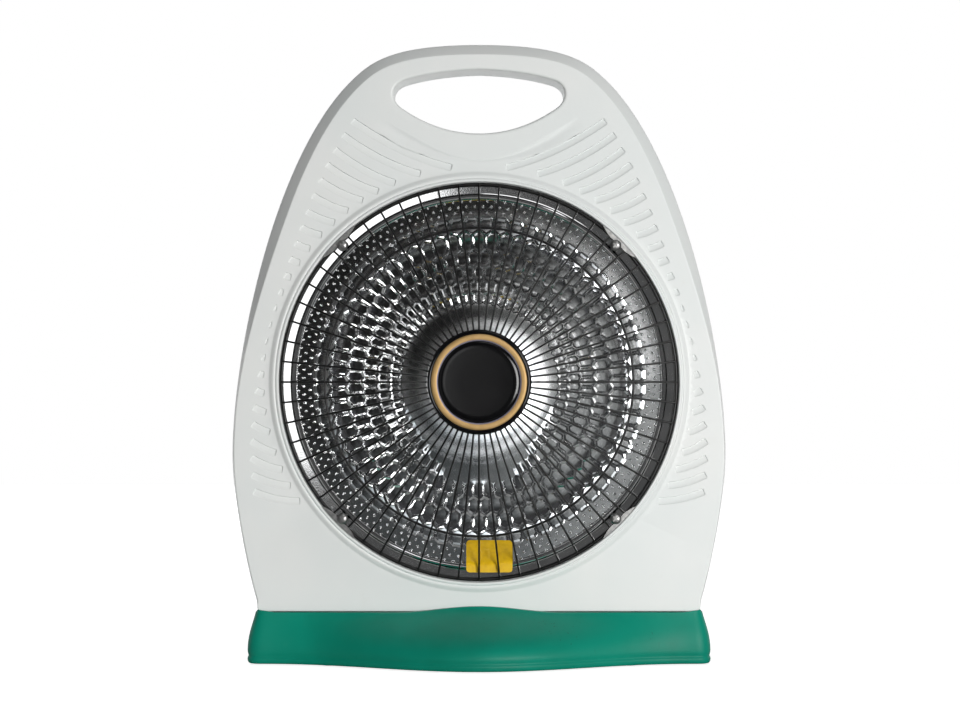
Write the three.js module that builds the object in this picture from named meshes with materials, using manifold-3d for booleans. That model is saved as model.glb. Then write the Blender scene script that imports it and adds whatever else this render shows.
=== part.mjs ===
// Parabolic radiant heater: a polished dish behind a wire grille, in a moulded housing with a carry
// handle and fluted shoulders, standing on a flared base. Millimetres, +Z up, the dish faces -Y.
import * as THREE from 'three';
import { mergeVertices } from 'three/addons/utils/BufferGeometryUtils.js';
import Module from 'manifold-3d';

const wasm = await Module();
wasm.setup();

// ---- Driving dimensions -------------------------------------------------------------------------
const wall = 2.5;                  // moulded wall of housing and base
const gap = 0.3;                   // between pieces that seat on each other
const runningGap = 0.45;           // round a moving piece

// Housing, front view: half widths and heights of the outline at the parting line.
const crownReach = 67;             // how far the crown stays flat, towards the shoulder
const shoulderIn = 63.4;           // from the bezel's edge in to where crown and flank meet
const shoulderDrop = 27.3;         // from the crown down to where the flank takes over
const shoulderSlope = 0.77;        // radians below level where crown meets flank
const shoulderPull = 20.5;
const flankPull = 83;
const flankWidth = 27.6;           // beside the bezel at the widest place
const widestZ = 158;
const waistPullUp = 75;
const waistPullDown = 36;
const footOut = 9;                 // how far the foot stands out past the bezel
const deckHeight = 39.3;           // top of the base, on which the housing stands
const footCorner = 7;

// Housing, side view.
const faceY = -40;                 // flat front face
const partingY = -14;              // where front and rear mouldings meet
const panY = 0;                    // flat back of the rear moulding
const draft = 2.8;                 // the front face is this much smaller all round
const chamferTop = 7.2;            // chamfered edge over crown and shoulders
const chamferFoot = 0.8;           // the same edge low on the flanks
const chamferBack = 11;            // from the face back to where it ends
const chamferFromZ = 190;
const chamferToZ = 350;

// Carry handle opening, front view.
const gripHeight = 21.5;           // the bar above the opening, which the hand closes on
const chinHeight = 27;             // between the opening and the bezel
const handleOpening = 48;
const handleHalfWidth = 65;
const handleShoulderX = 56;
const handleShoulderDrop = 8;      // the opening is lower here than at its middle
const handleChinRise = 17.5;       // and its lower edge is higher
const handleRound = 1.6;           // softened front edge of the opening

// Dish, bezel and grille.
const dishRise = 12.7;             // from the deck up to the bezel
const apertureRadius = 151;
const bezelWidth = 10;
const bezelProud = 3.5;
const ledgeDepth = 5.2;            // from the bezel's crest back to the ledge
const ledgeWidth = 9;
const dishWall = 1;
const dishRimWidth = 12;           // flat rim, from the aperture in to the bowl
const focalLength = 66;
const beadWidth = 2;
const beadHeight = 1.6;
const neckRadius = 20;             // hole for the element at the middle of the dish
const aroundDish = 40;             // facets of everything turned about the dish axis

const spokeCount = 60;
const spokeThickness = 1.5;
const rimWire = 2.7;
const middleWire = 2;
const middleRingRadius = 116;
const spokeEndRadius = 33;         // clamped between cap and hub plate
const grilleDome = 15;

const clipCount = 4;
const clipHalfAngle = 2.5;         // degrees, between two spokes
const clipThickness = 1.2;
const clipScrewRadius = 1.5;
const clipScrewHead = 4.2;
const clipScrewLength = 17;
const clipBoss = 4.6;
const clipBossDepth = 14;          // from the ledge to the boss's end

const capRadius = 39.3;
const capThickness = 4.6;
const capRingOuter = 34.7;
const capRingInner = 29.5;
const capRingDepth = 1.2;
const hubPlateThickness = 2.4;

// Element on the dish axis.
const coreRadius = 8.5;
const coreLength = 62;
const coilWire = 1.8;
const coilTurns = 8;
const socketRadius = 17;
const socketLength = 25;
const bracketWidth = 24;
const bracketSpan = 47;
const bracketStandoff = 14;        // behind the vertex of the dish
const bracketThickness = 1.5;
const terminalWidth = 28;
const terminalDepth = 11;
const cutoutRadius = 7;

// Flutes in the front face.
const fluteCount = 24;
const fluteWidth = 5.7;
const fluteDepth = 1.1;
const fluteMargin = 12.7;          // from the edge of the flat face
const fluteTopDrop = 60.2;         // highest outer end, below the crown
const fluteBottomDrop = 82.6;      // lowest outer end, below the dish's centre
const fluteSag = 0.11;
const fluteFirstAngle = 76.7;      // degrees above level where the first would meet the bezel
const fluteStep = 4.8;             // degrees from one to the next
const fluteFanCount = 2.3;         // the topmost ones stand steeper
const fluteFan = 6.9;

// Rear moulding.
const humpInset = 22;              // from the aperture's radius in to the foot of the hump
const backClearance = 6.1;         // behind the terminals, inside the hump
const panEdge = 6;                 // rounded back edge of the rear moulding
const ventCount = 9;               // in each of the two groups
const ventWidth = 5;
const ventInner = 68;
const ventLength = 34;
const ventPitch = 12;              // degrees
const ventStart = 8;               // the slots stop this far behind the pan
const caseScrewRadius = 1.9;
const caseScrewHead = 3.8;
const caseBoss = 5;
const caseBossGrip = 16;           // threaded depth
const caseScrewLength = 27;
const bodyScrewLength = 16;
const plateScrewLength = 9;
const plateBoss = 4.5;
const bodyBoss = 5.5;
const bodyBossHeight = 18;

// Base.
const baseOut = 5;                 // how far the base stands out past the foot
const baseHalfDepth = 100;
const baseEndDepth = 49;           // half depth at the two ends
const baseTopInset = 6.6;          // the top is narrower at each end
const baseTopDepth = 44;
const baseTopEndDepth = 42.5;
const baseCorner = 12;
const bowShoulder = 58;            // the lip keeps its full reach about this far from the middle
const bowFoot = 100;               // and comes back to the ends' depth about here
const lipHeight = 7;
const rimTop = 43.8;               // crown of the rim in front of the housing
const rimEar = 41.2;
const rimArchHalfWidth = 64;
const plateThickness = 2.2;
const footRadius = 9;
const footHeight = 3;
const standX = 112;                // rubber feet
const standY = 42;

// Power rocker in the back, tip-over plunger under the base.
const rockerX = -118;
const rockerZ = 78;
const rockerWidth = 10;
const rockerReach = 8.2;
const rockerBack = 5;              // from the pins in to the back of the paddle
const rockerTilt = 12;             // degrees each side of level
const rockerPinDepth = 2.5;        // pins, in from the pan
const switchFrameWidth = 15;
const switchFrameHeight = 21;
const switchFrameProud = 2;
const switchDepth = 17;
const plungerX = 60;
const plungerY = 25;
const plungerRadius = 5;
const plungerStem = 2.5;
const plungerTravel = 6;

const glandX = 118;
const glandZ = 66;
const glandRadius = 6;
const glandBore = 3.4;
const leadRadius = 1.4;

// ---- Heights and widths that follow from the dish -----------------------------------------------
const bezelRadius = apertureRadius + bezelWidth;
const dishHeight = deckHeight + dishRise + bezelRadius;
const crownHeight = dishHeight + bezelRadius + chinHeight + handleOpening + gripHeight;
const shoulderX = bezelRadius - shoulderIn;
const widestX = bezelRadius + flankWidth;
const footX = bezelRadius + footOut;
const baseHalfWidth = footX + baseOut;

// ---- Solids -------------------------------------------------------------------------------------
function signedVolume(position, index) {
  const corners = [0, 1, 2].map(() => new THREE.Vector3());
  let sum = 0;
  for (let i = 0; i < index.count; i += 3) {
    corners.forEach((corner, k) => corner.fromBufferAttribute(position, index.getX(i + k)));
    sum += corners[0].dot(corners[1].clone().cross(corners[2]));
  }
  return sum / 6;
}

// A closed geometry as a solid, its faces turned outward.
function solid(geometry) {
  const bare = geometry.clone();
  bare.deleteAttribute('normal');
  bare.deleteAttribute('uv');
  const merged = mergeVertices(bare, 1e-4);
  const faces = [];
  const index = merged.index;
  for (let i = 0; i < index.count; i += 3) {
    const [a, b, c] = [index.getX(i), index.getX(i + 1), index.getX(i + 2)];
    if (a !== b && b !== c && c !== a) faces.push(a, b, c);
  }
  if (signedVolume(merged.attributes.position, index) < 0) faces.reverse();
  return new wasm.Manifold(new wasm.Mesh({
    numProp: 3,
    vertProperties: new Float32Array(merged.attributes.position.array),
    triVerts: new Uint32Array(faces),
  }));
}

function geometryOf(body) {
  const mesh = body.getMesh();
  const geometry = new THREE.BufferGeometry();
  geometry.setAttribute('position', new THREE.BufferAttribute(mesh.vertProperties, 3));
  geometry.setIndex(new THREE.BufferAttribute(mesh.triVerts, 1));
  return geometry;
}

const joined = (bodies) => bodies.reduce((whole, body) => whole.add(body));
const cut = (body, tools) => tools.reduce((rest, tool) => rest.subtract(tool), body);

// A skin through closed rings of equal point count, with flat ends. `flat` lays a ring in a plane.
function loft(rings, flat) {
  const count = rings[0].length;
  const positions = rings.flat().flatMap((point) => point.toArray());
  const faces = [];
  for (let ring = 0; ring + 1 < rings.length; ring += 1) {
    for (let i = 0; i < count; i += 1) {
      const here = ring * count + i;
      const next = ring * count + ((i + 1) % count);
      faces.push(here, next, next + count, here, next + count, here + count);
    }
  }
  const last = (rings.length - 1) * count;
  const turn = THREE.ShapeUtils.isClockWise(rings[0].map(flat)) ? 1 : -1;
  for (const [a, b, c] of THREE.ShapeUtils.triangulateShape(rings[0].map(flat), [])) {
    faces.push(...(turn * capTurn(rings[0].map(flat), a, b, c) > 0 ? [a, b, c] : [a, c, b]));
  }
  const end = rings[rings.length - 1].map(flat);
  for (const [a, b, c] of THREE.ShapeUtils.triangulateShape(end, [])) {
    const outward = turn * capTurn(end, a, b, c) > 0 ? [a, c, b] : [a, b, c];
    faces.push(...outward.map((corner) => corner + last));
  }
  const geometry = new THREE.BufferGeometry();
  geometry.setAttribute('position', new THREE.Float32BufferAttribute(positions, 3));
  geometry.setIndex(faces);
  return solid(geometry);
}

function capTurn(ring, a, b, c) {
  return Math.sign(ring[b].clone().sub(ring[a]).cross(ring[c].clone().sub(ring[a])));
}

const frontView = (outline, y) => outline.map((p) => new THREE.Vector3(p.x, y, p.y));
const planView = (outline, z) => outline.map((p) => new THREE.Vector3(p.x, p.y, z));
const layFront = (p) => new THREE.Vector2(p.x, p.z);
const layPlan = (p) => new THREE.Vector2(p.x, p.y);
const point = (...xyz) => new THREE.Vector3(...xyz);
const bend = (value, from, to) => THREE.MathUtils.smoothstep(value, from, to);
const degrees = THREE.MathUtils.degToRad;

// Grows a closed outline by a distance that may vary from point to point; negative shrinks it.
function offset(outline, distanceAt) {
  const turn = THREE.ShapeUtils.isClockWise(outline) ? -1 : 1;
  return outline.map((corner, i) => {
    const incoming = corner.clone().sub(outline.at(i - 1)).normalize();
    const outgoing = outline[(i + 1) % outline.length].clone().sub(corner).normalize();
    const along = incoming.clone().add(outgoing).normalize();
    const mitre = 1 / Math.max(0.5, along.dot(outgoing));
    const outward = new THREE.Vector2(along.y, -along.x).multiplyScalar(turn * mitre);
    const distance = typeof distanceAt === 'function' ? distanceAt(corner) : distanceAt;
    return corner.clone().addScaledVector(outward, distance);
  });
}

// Turned about an axis along Y through (x, z); the profile is pairs of radius and y.
function turned(profile, facets, x = 0, z = dishHeight) {
  const points = profile.map(([radius, y]) => new THREE.Vector2(radius, y));
  return solid(new THREE.LatheGeometry(points, facets).translate(x, 0, z));
}

// Turned about a vertical axis through (x, y); the profile is pairs of radius and z.
function turnedUpright(profile, facets, x, y) {
  const points = profile.map(([radius, z]) => new THREE.Vector2(radius, z));
  const lathe = new THREE.LatheGeometry(points, facets);
  return solid(lathe.rotateX(Math.PI / 2).translate(x, y, 0));
}

const closedProfile = (profile) => [...profile, profile[0]];

function rod(radius, fromY, toY, facets, x, z) {
  return turned([[0, fromY], [radius, fromY], [radius, toY], [0, toY]], facets, x, z);
}

function upright(radius, fromZ, toZ, facets, x, y) {
  return turnedUpright([[0, fromZ], [radius, fromZ], [radius, toZ], [0, toZ]], facets, x, y);
}

// A faceted hole clears a round of this radius only when its corners stand further out.
const holeRadius = (radius, facets) => radius / Math.cos(Math.PI / facets);

function bore(radius, fromY, toY, facets, x, z) {
  return rod(holeRadius(radius + gap, facets), fromY, toY, facets, x, z);
}

function uprightBore(radius, fromZ, toZ, facets, x, y) {
  return upright(holeRadius(radius + gap, facets), fromZ, toZ, facets, x, y);
}

function box(from, to) {
  const size = to.map((value, i) => value - from[i]);
  const middle = to.map((value, i) => (value + from[i]) / 2);
  return solid(new THREE.BoxGeometry(...size).translate(...middle));
}

// An outline extruded along an axis: 'x' takes (y, z) points, 'y' takes (x, z), 'z' takes (x, y).
function prism(points, axis, from, to) {
  const order = { x: ['y', 'z'], y: ['x', 'z'], z: ['x', 'y'] }[axis];
  const ring = (at) => points.map(([a, b]) => (
    Object.assign(new THREE.Vector3(), { [axis]: at, [order[0]]: a, [order[1]]: b })));
  return loft([ring(from), ring(to)], (p) => new THREE.Vector2(p[order[0]], p[order[1]]));
}

function wire(curve, radius, steps, sides) {
  const section = new THREE.Shape();
  for (let i = 0; i < sides; i += 1) {
    const angle = (2 * Math.PI * i) / sides;
    section[i ? 'lineTo' : 'moveTo'](radius * Math.cos(angle), radius * Math.sin(angle));
  }
  section.closePath();
  return solid(new THREE.ExtrudeGeometry(section, { extrudePath: curve, steps }));
}

// ---- Scene graph --------------------------------------------------------------------------------
const finishes = {
  whitePlastic: { color: 0xdde1de, roughness: 0.38, metalness: 0 },
  tealPlastic: { color: 0x0b8a6d, roughness: 0.42, metalness: 0 },
  blackPlastic: { color: 0x111213, roughness: 0.3, metalness: 0 },
  blackWire: { color: 0x17181a, roughness: 0.4, metalness: 0.3 },
  brightMetal: { color: 0xc9ccce, roughness: 0.16, metalness: 1 },
  plainSteel: { color: 0x9a9c9e, roughness: 0.35, metalness: 1 },
  gold: { color: 0xc79a45, roughness: 0.22, metalness: 1 },
  ceramic: { color: 0xe9e4d8, roughness: 0.75, metalness: 0 },
  resistanceWire: { color: 0x6f665e, roughness: 0.45, metalness: 0.9 },
  rubber: { color: 0x1a1a1a, roughness: 0.9, metalness: 0 },
};
const materials = Object.fromEntries(Object.entries(finishes).map(([name, values]) => (
  [name, new THREE.MeshStandardMaterial(values)])));

const heater = new THREE.Group();
const powerRocker = new THREE.Group();
const safetyPlunger = new THREE.Group();
heater.add(powerRocker, safetyPlunger);

function add(name, body, finish, group = heater) {
  const mesh = new THREE.Mesh(geometryOf(body), materials[finish]);
  mesh.name = name;
  group.add(mesh);
}

// ---- Housing outline ----------------------------------------------------------------------------
const v2 = (x, y) => new THREE.Vector2(x, y);
const housingFootZ = deckHeight + gap;
const shoulderZ = crownHeight - shoulderDrop;
const shoulder = v2(shoulderX, shoulderZ);
const shoulderLine = v2(Math.cos(shoulderSlope), -Math.sin(shoulderSlope));
const footTop = v2(footX, housingFootZ + footCorner);
const flankLean = v2(5, 15);

const crownCurve = new THREE.CubicBezierCurve(
  v2(0, crownHeight), v2(crownReach, crownHeight),
  shoulder.clone().addScaledVector(shoulderLine, -shoulderPull), shoulder);
const flankCurve = new THREE.CubicBezierCurve(
  shoulder, shoulder.clone().addScaledVector(shoulderLine, flankPull),
  v2(widestX, widestZ + waistPullUp), v2(widestX, widestZ));
const lowerCurve = new THREE.CubicBezierCurve(
  v2(widestX, widestZ), v2(widestX, widestZ - waistPullDown),
  footTop.clone().add(flankLean), footTop);
const cornerCurve = new THREE.QuadraticBezierCurve(
  footTop, v2(footX - 1, housingFootZ), v2(footX - footCorner, housingFootZ));

function mirrored(half) {
  const left = half.filter((p) => p.x > 1e-6).map((p) => v2(-p.x, p.y)).reverse();
  return [...half, ...left];
}

const housingOutline = mirrored([
  ...crownCurve.getPoints(5).slice(0, -1),
  ...flankCurve.getPoints(9).slice(0, -1),
  ...lowerCurve.getPoints(5).slice(0, -1),
  ...cornerCurve.getPoints(2),
]);

const chamfer = (p) => chamferFoot + (chamferTop - chamferFoot) * bend(p.y, chamferFromZ, chamferToZ);
const housingRing = (y, inset) => frontView(offset(housingOutline, (p) => -inset(p)), y);
const faceInset = (p) => draft + chamfer(p);

// ---- Handle opening -----------------------------------------------------------------------------
const handleTop = crownHeight - gripHeight;
const handleBottom = handleTop - handleOpening;
const handleShoulderZ = handleTop - handleShoulderDrop;
const handleChinZ = handleBottom + handleChinRise;
const handleUpper = new THREE.QuadraticBezierCurve(
  v2(0, handleTop), v2(handleShoulderX * 0.6, handleTop - 1), v2(handleShoulderX, handleShoulderZ));
const handleEnd = new THREE.CubicBezierCurve(
  v2(handleShoulderX, handleShoulderZ), v2(handleHalfWidth + 3, handleShoulderZ - 4),
  v2(handleHalfWidth + 2, handleChinZ + 6), v2(handleShoulderX, handleChinZ));
const handleLower = new THREE.QuadraticBezierCurve(
  v2(handleShoulderX, handleChinZ), v2(handleShoulderX * 0.53, handleBottom), v2(0, handleBottom));
const handleOutline = mirrored([
  ...handleUpper.getPoints(3).slice(0, -1),
  ...handleEnd.getPoints(4).slice(0, -1),
  ...handleLower.getPoints(3),
]);
const handleRing = (y, growth) => frontView(offset(handleOutline, growth), y);

function handleSleeve(fromY, toY) {
  return loft([handleRing(fromY, wall), handleRing(toY, wall)], layFront);
}

function handleCut(fromY, toY) {
  return loft([handleRing(fromY, 0), handleRing(toY, 0)], layFront);
}

// Flares the opening where it meets the front face.
function handleFlare() {
  return loft([
    handleRing(faceY - 0.5, handleRound), handleRing(faceY + 1, handleRound * 0.45),
    handleRing(faceY + 3.5, 0),
  ], layFront);
}

// ---- Flutes -------------------------------------------------------------------------------------
const fluteTopZ = crownHeight - fluteTopDrop;
const fluteBottomZ = dishHeight - fluteBottomDrop;
const flutedEdge = offset(housingOutline, (p) => -faceInset(p) - fluteMargin)
  .filter((p) => p.x > 1 && p.y > fluteBottomZ - 40);
const flutedCurve = new THREE.SplineCurve(flutedEdge);

// Where the fluted edge passes a height.
function edgeAtHeight(z) {
  let low = 0;
  let high = 1;
  for (let i = 0; i < 30; i += 1) {
    const middle = (low + high) / 2;
    if (flutedCurve.getPointAt(middle).y > z) low = middle;
    else high = middle;
  }
  return low;
}

// Where a flute ends on the bezel, in degrees above the dish's level.
function fluteAngle(index) {
  const early = Math.max(0, 1 - index / fluteFanCount);
  return fluteFirstAngle - fluteStep * index + fluteFan * early ** 1.5;
}

function fluteCutter(index, side) {
  const [first, last] = [edgeAtHeight(fluteTopZ), edgeAtHeight(fluteBottomZ)];
  const outer = flutedCurve.getPointAt(first + ((last - first) * index) / (fluteCount - 1));
  const angle = degrees(fluteAngle(index));
  const inner = v2(Math.cos(angle), Math.sin(angle)).multiplyScalar(bezelRadius + 1.2);
  inner.y += dishHeight;
  const length = outer.distanceTo(inner);
  const middle = outer.clone().lerp(inner, 0.5);
  const control = v2(middle.x, middle.y - fluteSag * length);
  const curve = new THREE.QuadraticBezierCurve(outer, control, inner);
  const steps = Math.max(2, Math.round(length / 30));
  const stations = [0, fluteWidth / 3 / length];
  for (let i = 1; i <= steps; i += 1) stations.push(i / steps);
  const rings = stations.map((t) => {
    const atTip = t === 0;
    const half = (fluteWidth / 2) * (atTip ? 0.45 : 1);
    const depth = atTip ? fluteDepth * 0.3 : fluteDepth;
    const centre = curve.getPoint(t);
    const along = curve.getTangent(t);
    const across = v2(-along.y, along.x);
    return [[-half, faceY], [-half, faceY - 1], [half, faceY - 1], [half, faceY],
      [0, faceY + depth]].map(([shift, y]) => {
      const p = centre.clone().addScaledVector(across, shift);
      return point(side * p.x, y, p.y);
    });
  });
  return loft(rings, (p) => {
    const along = curve.getTangent(0.5);
    return v2((side * p.x) * -along.y + p.z * along.x, p.y);
  });
}

// ---- Screws -------------------------------------------------------------------------------------
const caseScrews = [
  [shoulderX - 4.6, shoulderZ - 29.2], [widestX - 28.6, dishHeight + 49],
  [footX - 19, housingFootZ + 52.4],
].flatMap(([x, z]) => [[x, z], [-x, z]]);
const bodyScrews = [[-112, -20], [112, -20]];
const plateScrews = [[-150, 0], [150, 0], [-60, -62], [60, -62]];
const clipAngles = Array.from({ length: clipCount }, (_, i) => degrees(45 + (360 / clipCount) * i));
const apertureInside = apertureRadius * Math.cos(Math.PI / aroundDish);
const rimRingRadius = apertureInside - gap - rimWire / 2;
const clipScrewAt = rimRingRadius - rimWire / 2 - clipScrewRadius - gap * 1.5;
const aroundAxis = (radius, angle) => [radius * Math.cos(angle), dishHeight + radius * Math.sin(angle)];

// ---- Front housing ------------------------------------------------------------------------------
const crestY = faceY - bezelProud;
const ledgeY = crestY + ledgeDepth;
const ledgeRadius = apertureRadius - ledgeWidth;

// The bowl's back surface is a paraboloid; the strap, and what it carries, stand behind its vertex.
const dishRadius = apertureRadius - dishRimWidth;
const rimFront = ledgeY - gap - dishWall;
const vertexY = rimFront + dishWall + dishRadius ** 2 / (4 * focalLength);
const bowlY = (radius) => vertexY - radius ** 2 / (4 * focalLength);
const bracketY = vertexY + bracketStandoff;
const strapBack = bracketY + bracketThickness + gap;

function frontHousing() {
  const outside = loft([
    housingRing(faceY, faceInset),
    housingRing(faceY + chamferBack, () => draft / 2),
    housingRing(partingY, () => 0),
  ], layFront);
  const hollow = loft([
    housingRing(faceY + wall, (p) => faceInset(p) + wall * 0.8),
    housingRing(faceY + chamferBack, () => draft / 2 + wall),
    housingRing(partingY + 1, () => wall),
  ], layFront);
  const bezel = turned(closedProfile([
    [apertureRadius, crestY + 0.8], [apertureRadius + 1.2, crestY], [apertureRadius + 3, crestY + 0.6],
    [apertureRadius + 6.5, crestY + 1.7], [bezelRadius, faceY], [bezelRadius - 2, faceY + wall / 2],
    [apertureRadius + wall, ledgeY + wall], [ledgeRadius, ledgeY + wall], [ledgeRadius, ledgeY],
    [apertureRadius, ledgeY],
  ]), aroundDish);
  const aperture = rod(apertureRadius + 1.2, faceY - 1, faceY + wall + 1, aroundDish, 0, dishHeight);
  const clipBosses = clipAngles.map((angle) => (
    rod(clipBoss, ledgeY + wall - 0.5, ledgeY + clipBossDepth, 6,
      ...aroundAxis(clipScrewAt, angle))));
  const clipHoles = clipAngles.map((angle) => (
    bore(clipScrewRadius, ledgeY - 1, ledgeY + clipBossDepth - 1.5, 8,
      ...aroundAxis(clipScrewAt, angle))));
  const caseBosses = caseScrews.map(([x, z]) => (
    rod(caseBoss, faceY + wall - 0.5, partingY, 6, x, z)));
  const caseHoles = caseScrews.map(([x, z]) => (
    bore(caseScrewRadius, partingY - caseBossGrip, partingY + 1, 6, x, z)));
  const bossTop = housingFootZ + bodyBossHeight;
  const footBosses = bodyScrews.map(([x, y]) => (
    upright(bodyBoss, housingFootZ + wall - 0.5, bossTop, 6, x, y)));
  const footHoles = bodyScrews.map(([x, y]) => (
    uprightBore(caseScrewRadius, housingFootZ - 1, bossTop - 2, 8, x, y)));
  const flutes = [1, -1].flatMap((side) => (
    Array.from({ length: fluteCount }, (_, i) => fluteCutter(i, side))));
  const shell = cut(outside, [hollow, aperture]);
  const whole = joined([shell, bezel, handleSleeve(faceY + wall / 2, partingY),
    ...clipBosses, ...caseBosses, ...footBosses]);
  const openings = [handleCut(faceY - 1, partingY + 1), handleFlare(), ...clipHoles,
    ...caseHoles, ...footHoles, ...flutes];
  return cut(whole, openings);
}
add('front_housing', frontHousing(), 'whitePlastic');

// ---- Rear housing -------------------------------------------------------------------------------
const rearStart = partingY + gap;
const humpRadius = apertureRadius - humpInset;
const humpSteps = 5;
const humpDepth = strapBack + terminalDepth + backClearance + wall - panY;

// The domed back over the dish, from the middle outwards.
function humpProfile(thinner) {
  const radius = humpRadius - thinner;
  const depth = humpDepth - thinner;
  const arc = [];
  for (let i = 0; i <= humpSteps; i += 1) {
    const angle = (Math.PI / 2) * (1 - i / humpSteps);
    const across = Math.cos(angle) ** 0.82;
    arc.push([radius * (0.3 + 0.7 * across), depth * Math.sin(angle)]);
  }
  return [[0, depth], ...arc];
}

function rearHousing() {
  const pan = loft([
    housingRing(rearStart, () => 0),
    housingRing(panY - panEdge, () => panEdge * 0.13),
    housingRing(panY - panEdge * 0.3, () => panEdge * 0.5),
    housingRing(panY, () => panEdge * 1.08),
  ], layFront);
  const hump = turned([...humpProfile(0), [humpRadius, panY - 1], [0, panY - 1]], aroundDish);
  const panHollow = loft([
    housingRing(rearStart - 1, () => wall),
    housingRing(panY - panEdge, () => wall + panEdge * 0.13),
    housingRing(panY - wall, () => wall + panEdge * 0.83),
  ], layFront);
  const humpHollow = turned(
    [...humpProfile(wall), [humpRadius - wall, rearStart - 1], [0, rearStart - 1]], aroundDish);
  const vents = [90, 270].flatMap((middle) => (
    Array.from({ length: ventCount }, (_, i) => {
      const angle = degrees(middle + (i - (ventCount - 1) / 2) * ventPitch);
      const slot = new THREE.BoxGeometry(ventLength, humpDepth, ventWidth);
      slot.translate(ventInner + ventLength / 2, panY + ventStart + humpDepth / 2, 0);
      slot.rotateY(-angle);
      return solid(slot.translate(0, 0, dishHeight));
    })));
  const posts = caseScrews.map(([x, z]) => rod(caseBoss, rearStart, panY - 0.5, 6, x, z));
  const holes = caseScrews.map(([x, z]) => (
    bore(caseScrewRadius, rearStart - 1, panY + 1, 6, x, z)));
  const frame = [switchFrameWidth / 2 - 1.2 + gap, switchFrameHeight / 2 - 1.2 + gap];
  const switchHole = box([rockerX - frame[0], panY - 6, rockerZ - frame[1]],
    [rockerX + frame[0], panY + 1, rockerZ + frame[1]]);
  const glandHole = bore(glandRadius, panY - 6, panY + 1, 12, glandX, glandZ);
  const whole = joined([pan, hump]);
  const shell = joined([cut(whole, [panHollow, humpHollow]), ...posts,
    handleSleeve(rearStart, panY - 0.5)]);
  const openings = [handleCut(rearStart - 1, panY + 1), ...vents, ...holes, switchHole,
    glandHole];
  return cut(shell, openings);
}
add('rear_housing', rearHousing(), 'whitePlastic');

// ---- Base ---------------------------------------------------------------------------------------
// Plan outline: front and back swell out round the middle like a bell, the corners are rounded.
function baseOutline(halfWidth, middleDepth, endDepth, corner) {
  const start = v2(halfWidth - corner, endDepth);
  const tip = v2(halfWidth, endDepth);
  const bow = new THREE.CubicBezierCurve(
    v2(0, middleDepth), v2(bowShoulder, middleDepth), v2(bowFoot, endDepth), start);
  const bendRound = new THREE.QuadraticBezierCurve(start, tip, v2(halfWidth, endDepth - corner));
  const quarter = [...bow.getPoints(6).slice(0, -1), ...bendRound.getPoints(3)];
  const back = quarter.slice().reverse().map((p) => v2(p.x, -p.y));
  return mirrored([...quarter, ...back].filter((p, i, all) => (
    i === 0 || p.distanceTo(all[i - 1]) > 1e-6)));
}

const skirtTop = rimTop + 1;

// The skirt falls in an ogee: upright at the rim, shallowest above its middle, upright again at the lip.
function baseSection(z, inset) {
  const rise = THREE.MathUtils.clamp((z - lipHeight) / (skirtTop - lipHeight), 0, 1);
  const reach = 1 - bend(rise ** 1.4, 0, 1);
  const mix = (top, bottom) => top + (bottom - top) * reach;
  return offset(baseOutline(
    mix(baseHalfWidth - baseTopInset, baseHalfWidth), mix(baseTopDepth, baseHalfDepth),
    mix(baseTopEndDepth, baseEndDepth), mix(8, baseCorner)), -inset);
}

const plateZ = footHeight + gap;
const plateTop = plateZ + plateThickness;
const skirtHeights = [lipHeight, 13, 19, 25, 31, 37, skirtTop];

function baseShell() {
  const outside = loft([
    planView(baseSection(0, 2.2), 1), planView(baseSection(0, 0.5), 2.4),
    planView(baseSection(0, 0), 4.4),
    ...skirtHeights.map((z, i) => planView(baseSection(z, i ? 0 : 0.5), z)),
  ], layPlan);
  const hollowTop = deckHeight - wall;
  const hollow = loft([
    planView(baseSection(0, wall + 1.2), 0), planView(baseSection(0, wall + 1.2), plateTop + gap),
    ...[...skirtHeights.slice(1, -2), hollowTop].map((z) => (
      planView(baseSection(z + wall * 0.8, wall * 0.9), z))),
  ], layPlan);
  const far = baseHalfWidth + 5;
  const line = [[-far, 0], [far, 0], [far, rimEar + 0.6], [footX - 3, rimEar],
    [footX - 16, deckHeight], [rimArchHalfWidth, deckHeight]];
  for (let i = 1; i <= 7; i += 1) {
    const x = rimArchHalfWidth * (1 - i / 4);
    const arch = Math.cos((Math.PI / 2) * (x / rimArchHalfWidth)) ** 2;
    line.push([x, deckHeight + (rimTop - deckHeight) * arch]);
  }
  line.push([-rimArchHalfWidth, deckHeight], [-footX + 16, deckHeight], [-footX + 3, rimEar],
    [-far, rimEar + 0.6]);
  const below = prism(line, 'y', -baseHalfDepth - 5, baseHalfDepth + 5);
  const deck = box([-far, faceY - gap, deckHeight], [far, baseHalfDepth, skirtTop + 2]);
  const bosses = plateScrews.map(([x, y]) => upright(plateBoss, plateTop + gap, hollowTop + 1, 6, x, y));
  const bossHoles = plateScrews.map(([x, y]) => (
    uprightBore(caseScrewRadius, plateTop - 1, plateTop + 8.5, 8, x, y)));
  const bodyHoles = bodyScrews.map(([x, y]) => (
    uprightBore(caseScrewRadius, hollowTop - 2, deckHeight + 1, 8, x, y)));
  const ribs = [-85, 0, 85].map((x) => (
    box([x - 1, -baseTopDepth + 4, 22], [x + 1, baseTopDepth - 4, hollowTop + 1])));
  const shell = cut(outside.intersect(below), [hollow, deck]);
  const inside = joined([...bosses, ...ribs]).intersect(outside);
  return cut(shell.add(inside), [...bossHoles, ...bodyHoles]);
}
add('base_shell', baseShell(), 'tealPlastic');

const feetAt = [-1, 1].flatMap((sx) => [-1, 1].map((sy) => [sx * standX, sy * standY]));
const footStem = 2.4;

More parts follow.
